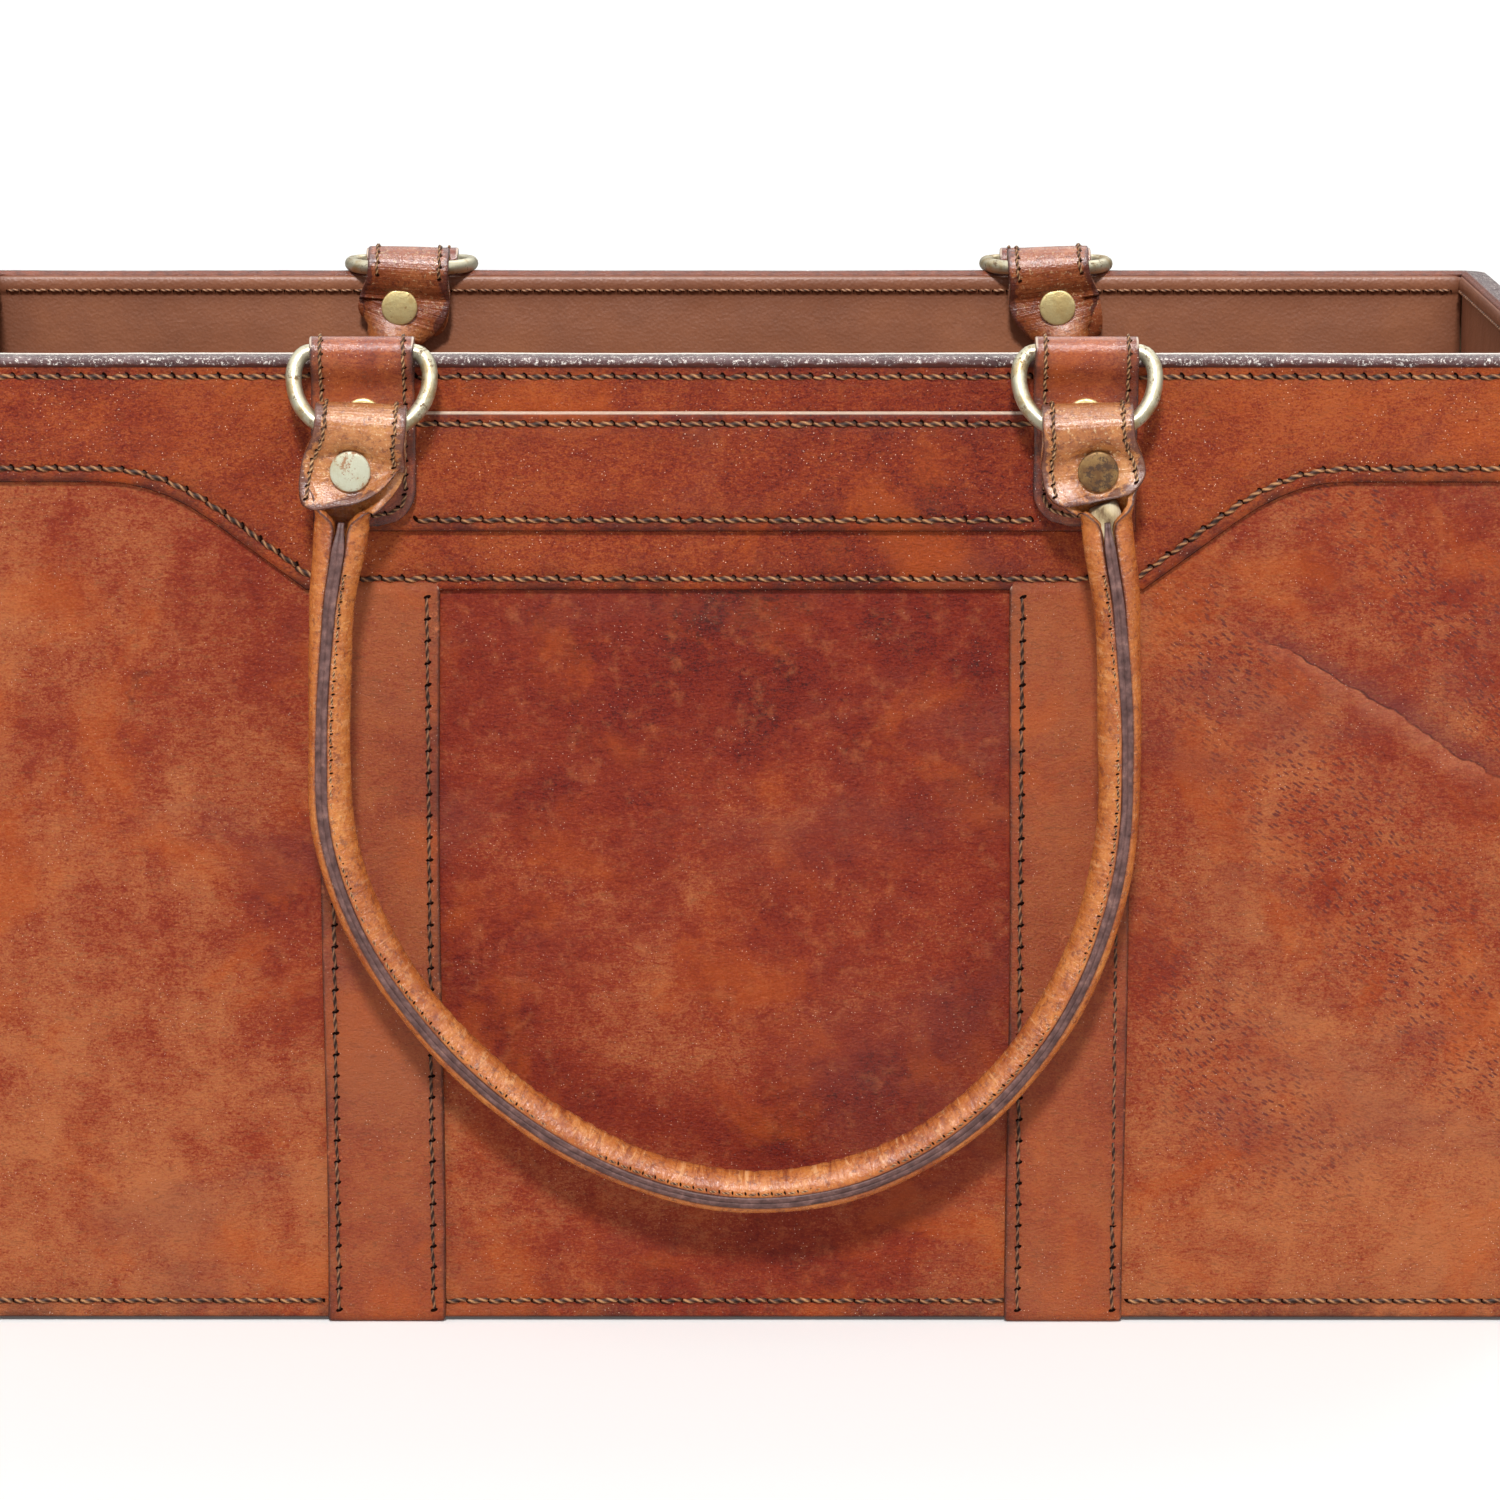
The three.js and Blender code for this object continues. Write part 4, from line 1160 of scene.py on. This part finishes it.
# How each end hangs: its lean, and the slant, lift and bow of its flap's cut edge
LEAN = {-1: math.radians(7.5), 1: math.radians(-4.5)}
CUT = {-1: (0.3, -0.9, 0.035), 1: (0.12, 0.3, 0.0)}
rivet_low, rivet_high = box("front_left_handle_rivet")
RIVET_X = -(rivet_low[0] + rivet_high[0]) / 2
RIVET_Z = (rivet_low[2] + rivet_high[2]) / 2 - handle_axis["front"][1]


def bowl_line():
    """The handle's middle line, along and down from the loops' axis, from mouth to mouth."""
    mouth, leg, bowl, shoulder, drop = 95.0, 97.7, 8.0, -89.8, -192.8
    points = [bezier((-mouth, MOUTH), (-mouth - 1.6, -36), (-leg, -62), (-leg, shoulder), 60)]
    points.append(bezier((-leg, shoulder), (-leg, -138.8), (-42, drop), (bowl, drop), 120)[1:])
    points.append(bezier((bowl, drop), (60, drop), (leg, -144.8), (leg, shoulder), 110)[1:])
    points.append(bezier((leg, shoulder), (leg, -62), (mouth + 1.6, -36), (mouth, MOUTH), 60)[1:])
    return resample(np.concatenate(points), 1.25)


def end_rows():
    """Rows of a handle end, out and up: from the flap's bottom over the loop to its tongue."""
    radius = 4.2 + LEATHER / 2
    leaf = LEATHER / 2
    neck = -8.5
    flap = np.concatenate([FLAP_END + np.array([0, 0.12, 0.4, 0.9, 1.6, 2.6, 3.8, 5.2, 6.8]), [-10, neck]])
    a = np.linspace(0, np.pi, 17)[1:]
    rows = np.concatenate([
        np.stack([-leaf - 2.7 * ease(-flap, 12, 18.6), flap], 1),
        bezier((-leaf, neck), (-leaf, -6.6), (-radius, -5.2), (-radius, 0), 9)[1:],
        np.stack([-radius * np.cos(a), radius * np.sin(a)], 1),
        bezier((radius, 0), (radius, -5.2), (leaf, -6.6), (leaf, neck), 9)[1:],
        [(leaf, -9.5)],
    ])
    return rows, unit(np.gradient(rows, axis=0))


def end_shape(z):
    """Middle and half width of a handle end at a height."""
    return 89 + 0.9 * ease(-z, 0, 16), 11.2 + 1.5 * ease(-z, 2, 10)


def settle(points, hand, flap):
    """Cuts a flap's bottom at a slant and leans the end as it hangs."""
    x, y, z = np.moveaxis(np.array(points, float), -1, 0)
    slant, lift, bow = CUT[hand]
    across = x - hand * 90
    z = z + (slant * across + lift + bow * np.maximum(across, 0) ** 2) * ease(-z, 9, 17) * flap
    a = LEAN[hand] * (0.3 + 0.7 * ease(-z, -6, 2))
    x = x - hand * TAB_X
    return np.stack([hand * TAB_X + x * np.cos(a) + z * np.sin(a), y, z * np.cos(a) - x * np.sin(a)], -1)


def press(points, hand, surface):
    """Lays a flap flat under its rivet, with a soft dimple round the cap."""
    away = np.hypot(points[:, 0] - hand * RIVET_X, points[:, 2] - RIVET_Z)
    points[:, 1] += (0.12 - LEATHER / 2 - surface) * (1 - ease(away, 5.0, 8.2))
    return points


def tube_stations():
    """Places along the roll from rivet to rivet, with their runs and distances from the mouths."""
    line = bowl_line()
    run = length_along(line)
    total = run[-1]
    above = np.arange(-9.0, -0.4, 1.2)
    left = np.stack([np.full(len(above), -93.0), MOUTH - above], 1)
    line = np.concatenate([left, line, left[::-1] * [-1, 1]])
    run = np.concatenate([above, run, total - above[::-1]])
    near = np.minimum(run, total - run)
    lean = np.where(run < total / 2, LEAN[-1], -LEAN[1])
    start, end, middle = TAB_X + 0.6 + 10.2 * np.sin(lean), 93.6, np.abs(line[:, 0])
    x = np.where(near < 26, end + (middle - end) * ease(near, -4, 26), middle)
    x = np.where(near < 0, start + (end - start) * (near + 9.3) / 9.3, x)
    line[:, 0] = np.sign(line[:, 0]) * x
    stations = []
    for (x, z), (tx, tz), s, n in zip(line, unit(np.gradient(line, axis=0)), run, near):
        place, along = np.array([x, 0, z]), np.array([tx, 0, tz])
        across = np.cross(along, BACK)
        twist = math.radians(20) * float(ease(n, 14, 60))
        stations.append(dict(place=place, along=along, across=across, run=s, near=n, twist=twist))
    return stations, total


def section(theta, width, thin=1.0, twist=0.0, oval=0.0, bump=lambda place: 0):
    """A curled strip's outer and inner points: across, and back from its own back line."""
    half = width / 2
    inset = np.array([0, 0.1, 0.35, 0.9, 1.8, 2.6, 3.5, 4.7, 5.9, 7.1, 8.4, 9.7, 11.2])
    place, gap = across_strip(half, inset * min(1, half / 13.0))
    radius = width / theta
    leaf = LEATHER * thin / 2
    outer = radius + leaf - rounded(gap, 0.5) * thin + bump(place)
    r = np.concatenate([outer, np.full(11, radius - leaf)])
    a = np.concatenate([place, np.linspace(half, -half, 11)]) / radius + twist
    around = np.concatenate([np.sin(a[:-11]), np.zeros(11)])
    return r * np.sin(a) * (1 + oval), (r * np.cos(a) - radius) * (1 - 0.7 * oval), \
        np.concatenate([gap, np.full(11, 4.0)]), around


def handle_roll(stations, total, dye, wobble):
    """One skin from flap to flap: flat at the ends, rolled into a tube between its mouths."""
    loops, values = [], {}
    rows, tangent = end_rows()

    def add(points, **others):
        loops.append(points)
        for name, value in others.items():
            values.setdefault(name, []).append(np.broadcast_to(value, len(points)))

    def flat(k, hand, run):
        y, z = rows[k]
        side = np.array([-hand, 0, 0.0])
        back = np.cross(side, np.array([0, *tangent[k]]) * -hand)
        centre, half = end_shape(z)
        in_flap = k < FLAP_ROWS
        d = z - FLAP_END if in_flap else 99.0
        half = half - rounded(d, 6.5)
        across, depth, gap, _ = section(0.06, 2 * half, 1 - rounded(d, 0.9, 0.55))
        points = np.array([hand * centre, y, z]) + across[:, None] * side + depth[:, None] * back
        points = settle(points, hand, in_flap)
        if k < PRESSED_ROWS:
            points = press(points, hand, y)
        add(points, edge=np.minimum(gap, d), run=run, around=0.0, bowl=0.0, tone=1.0)

    def rolled(station):
        s, near = station["run"], station["near"]
        theta = np.interp(near, NEAR, CURL)
        curl = min(1.0, theta / CLOSED)
        width = np.interp(near, [-9.3, -4, -1, 4, 9], [24.6, 21.4, 21.4, 24.5, CLOSED * MID])
        depth = np.interp(near, [-9.3, -7, -4, -1, 4, 14], [LEATHER / 2, 1.2, 2.2, 3.5, 4.2, MID])
        oval = np.interp(near, [-9, 0, 5, 13, 32], [0, 0.06, 0.26, 0.15, 0])
        fat = 0.12 * math.sin(s / 13 + wobble[0]) + 0.1 * math.sin(s / 5.7 + wobble[1])
        bend = ease(near, 110, 190)

        def bump(place):
            angle = place / MID
            inner = np.clip(np.sin(angle + 0.3), 0, 1) ** 1.5
            crease = np.maximum(0, np.sin(s / 0.62 + 1.6 * np.sin(s / 4.1) + 1.2 * angle)) ** 3
            lip = 0.18 * hump(np.abs(place), CLOSED * MID / 2 - 1.2, 1.3)
            return (fat - 0.34 * crease * inner * (0.25 + bend) + lip) * curl

        across, depths, gap, around = section(theta, width, 1.0, station["twist"], oval, bump)
        points = station["place"] + across[:, None] * station["across"] + (depths + depth)[:, None] * BACK
        add(points, edge=gap, run=s, around=around * curl, bowl=bend, tone=ease(-near, -3, 7))

    for k in range(len(rows)):
        flat(k, -1, k - 60)
    for station in stations:
        rolled(station)
    for k in range(len(rows) - 1, -1, -1):
        flat(k, 1, total + 60 - k)
    return loft(loops, dye=np.array(values["tone"]) * dye, **values)


def out_of_seam(station, twist):
    return -math.cos(twist) * BACK - math.sin(twist) * station["across"]


def seam_strip(stations):
    """The painted edges of the rolled leather, side by side in the gap of the tube."""
    loops = []
    for station in stations:
        if station["near"] >= 3.5:
            s, grow = station["run"], float(ease(station["near"], 3.5, 11))
            out = out_of_seam(station, station["twist"])
            half = (1.45 + 0.1 * math.sin(s / 9)) * (0.5 + 0.5 * grow)
            top = TUBE + 0.16 - 1.6 * (1 - grow) + 0.06 * math.sin(s / 3.1)
            w = np.array([-1, -0.97, -0.8, -0.35, -0.06, 0, 0.06, 0.35, 0.8, 0.97, 1, 1, -1]) * half
            slope = [-0.5, -0.15, 0.0, 0.03, -0.05]
            h = np.array([*slope, -0.22, *slope[::-1], -1.9, -1.9]) + top
            loop = station["place"] + w[:, None] * np.cross(out, station["along"]) + h[:, None] * out
            loops.append(loop[::-1])
    return loft(loops)


def core_part(stations, total):
    """The cotton cord inside the roll. It fills the right mouth and stops short of the left one."""
    loops, plies = [], []
    phi = np.arange(24) / 24 * 2 * np.pi
    first, last = 6.5, total + 1.6
    for station in stations:
        s = station["run"]
        if first <= s <= last:
            ply = np.cos(3 * (phi - s / 4.5)) + 0.3 * np.cos(7 * phi + s)
            fray = 1 - 0.8 * math.exp(-min(s - first, last - s) / 0.9)
            swell = 1 + 0.35 * ease(s, total - 7, total)
            radius = (3.0 + 0.35 * ply) * fray
            centre = station["place"] + 0.6 * (1 - ease(station["near"], 0, 14)) * BACK
            across = (radius * swell * np.cos(phi))[:, None] * station["across"]
            loops.append(centre + across + (radius * np.sin(phi))[:, None] * BACK)
            plies.append(ply)
    return loft(loops, ply=plies)


def end_seams(hand):
    """Fine stitches inside the edges of a flap and over its loop."""
    rows, tangent = end_rows()
    keep = np.arange(5, len(rows) - 8)
    normal = np.stack([0 * keep, -tangent[keep, 1], tangent[keep, 0]], 1)
    centre, half = end_shape(rows[keep, 1])
    seams = []
    for end in (-1, 1):
        middle = np.stack([hand * (centre + end * (half - 2.6)), *rows[keep].T], 1)
        line = settle(middle + normal * LEATHER / 2, hand, keep < FLAP_ROWS)
        seams += stitch_parts(line, normal, pitch=3.2, width=0.4, slant=8, hole=0.65, proud=0.26, lean=24)
    return seams


def seam_thread(stations):
    """Small stitches along the inner edge of the seam."""
    along = [station for station in stations if station["near"] >= 16]
    facing = np.array([out_of_seam(station, station["twist"] - math.radians(26)) for station in along])
    line = np.array([station["place"] for station in along]) + (TUBE + 0.02) * facing
    return stitch_parts(line, facing, pitch=3.3, width=0.26, slant=4, hole=0.5, proud=0.1, lean=15, fill=0.7)


for side, dye in (("front", 0.0), ("back", 1.0)):
    stations, total = tube_stations()
    roll = handle_roll(stations, total, dye, RNG.uniform(0, 6.28, 6))
    pieces = {"roll": [roll], "seam": [seam_strip(stations)], "cord": [core_part(stations, total)],
              "end_thread": end_seams(-1) + end_seams(1), "seam_thread": seam_thread(stations)}
    for part in sum(pieces.values(), []):
        part.points = part.points * [-SIGNS[side], -SIGNS[side], 1] + [0, *handle_axis[side]]
    name, body = side + "_handle_", side + "_handle"
    mesh(name + "roll", pieces["roll"], [handle_skin], body, name + "cover")
    mesh(name + "seam", pieces["seam"], [seam_edge], body)
    mesh(name + "cord", pieces["cord"], [cotton], body, name + "core")
    for kind in ("end_thread", "seam_thread"):
        seam_mesh(name + kind, pieces[kind], fine_thread, body)


# ---------------------------------------------------------------- boards inside the walls
for name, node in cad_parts.items():
    if name.endswith("_stiffener"):
        node.data.materials.clear()
        node.data.materials.append(fibre_board)


# ---------------------------------------------------------------- floor, light and camera
def floor():
    data = bpy.data.meshes.new("floor")
    corners = [(40.0 * x, 40.0 * y, 0) for x, y in ((-1, -1), (1, -1), (1, 1), (-1, 1))]
    data.from_pydata(corners, [], [(0, 1, 2, 3)])
    s = Shader("pale_floor")
    s.ramp(s.noise(0.002, 2, 0.5), [(0.2, (250, 250, 249)), (0.8, (253, 253, 252))])
    # Painted reflection: reflections see the floor grey, so it shows darker in glossy surfaces than it does
    # to the camera.
    s.paint(s.node("ShaderNodeLightPath", output="Is Glossy Ray"), (130, 126, 122))
    s.bump(s.noise(0.3, 3, 0.5), 0.05)
    s.finish(0.85, Specular_IOR_Level=0.1, Emission_Strength=0.07, Emission_Color=(1, 1, 1, 1))
    data.materials.append(s.material)
    link("floor", data)


def studio_world():
    """White light all round, with a darker horizon in reflections so that the leather stays deep."""
    world = bpy.data.worlds.new("studio")
    bpy.context.scene.world = world
    world.use_nodes = True
    nodes = Nodes(world.node_tree)
    up = nodes.node("ShaderNodeSeparateXYZ", {0: nodes.node("ShaderNodeTexCoord", output="Generated")}, 2)
    glossy = nodes.node("ShaderNodeLightPath", output="Is Glossy Ray")
    camera_ray = nodes.node("ShaderNodeLightPath", output="Is Camera Ray")
    sky = up.between(0.1, 0.75, 0.16, 1.5)
    lit = nodes.node("ShaderNodeMix", {0: glossy, 2: 0.33, 3: sky}, data_type="FLOAT")
    seen = nodes.node("ShaderNodeMix", {0: camera_ray, 2: lit, 3: 1.0}, data_type="FLOAT")
    background = world.node_tree.nodes["Background"]
    background.inputs[0].default_value = (1, 1, 1, 1)
    nodes.put(background.inputs[1], seen)


def lamp(name, kind, power, aim, place=(0, 0, 0), **settings):
    data = bpy.data.lights.new(name, kind)
    data.energy = power
    for key, value in settings.items():
        setattr(data, key, value)
    made = link(name, data)
    made.location = place
    made.rotation_euler = Vector(aim).to_track_quat("-Z", "Y").to_euler()


floor()
studio_world()
lamp("front_sun", "SUN", 2.7, (0.04, 1.0, -0.95), angle=math.radians(8))
lamp("rear_sun", "SUN", 0.55, (-0.3, -1.0, -1.1), angle=math.radians(40))
for name, sign in HANDS.items():
    lamp(name, "AREA", 2, (-1.3 * sign, 0.9, -0.78), (1.3 * sign, -0.9, 0.9), shape="RECTANGLE", size=0.4,
         size_y=1.0)
bpy.context.scene.view_settings.view_transform = "Standard"
bpy.context.scene.view_settings.look = "None"

lens = bpy.data.cameras.new("camera")
lens.sensor_width = 36
lens.lens = 146.7
camera = link("camera", lens)
camera.location = (0.0086, -1.6017, 0.4199)
camera.rotation_euler = (math.radians(90 - 10.272), 0, math.radians(0.088))
bpy.context.scene.camera = camera
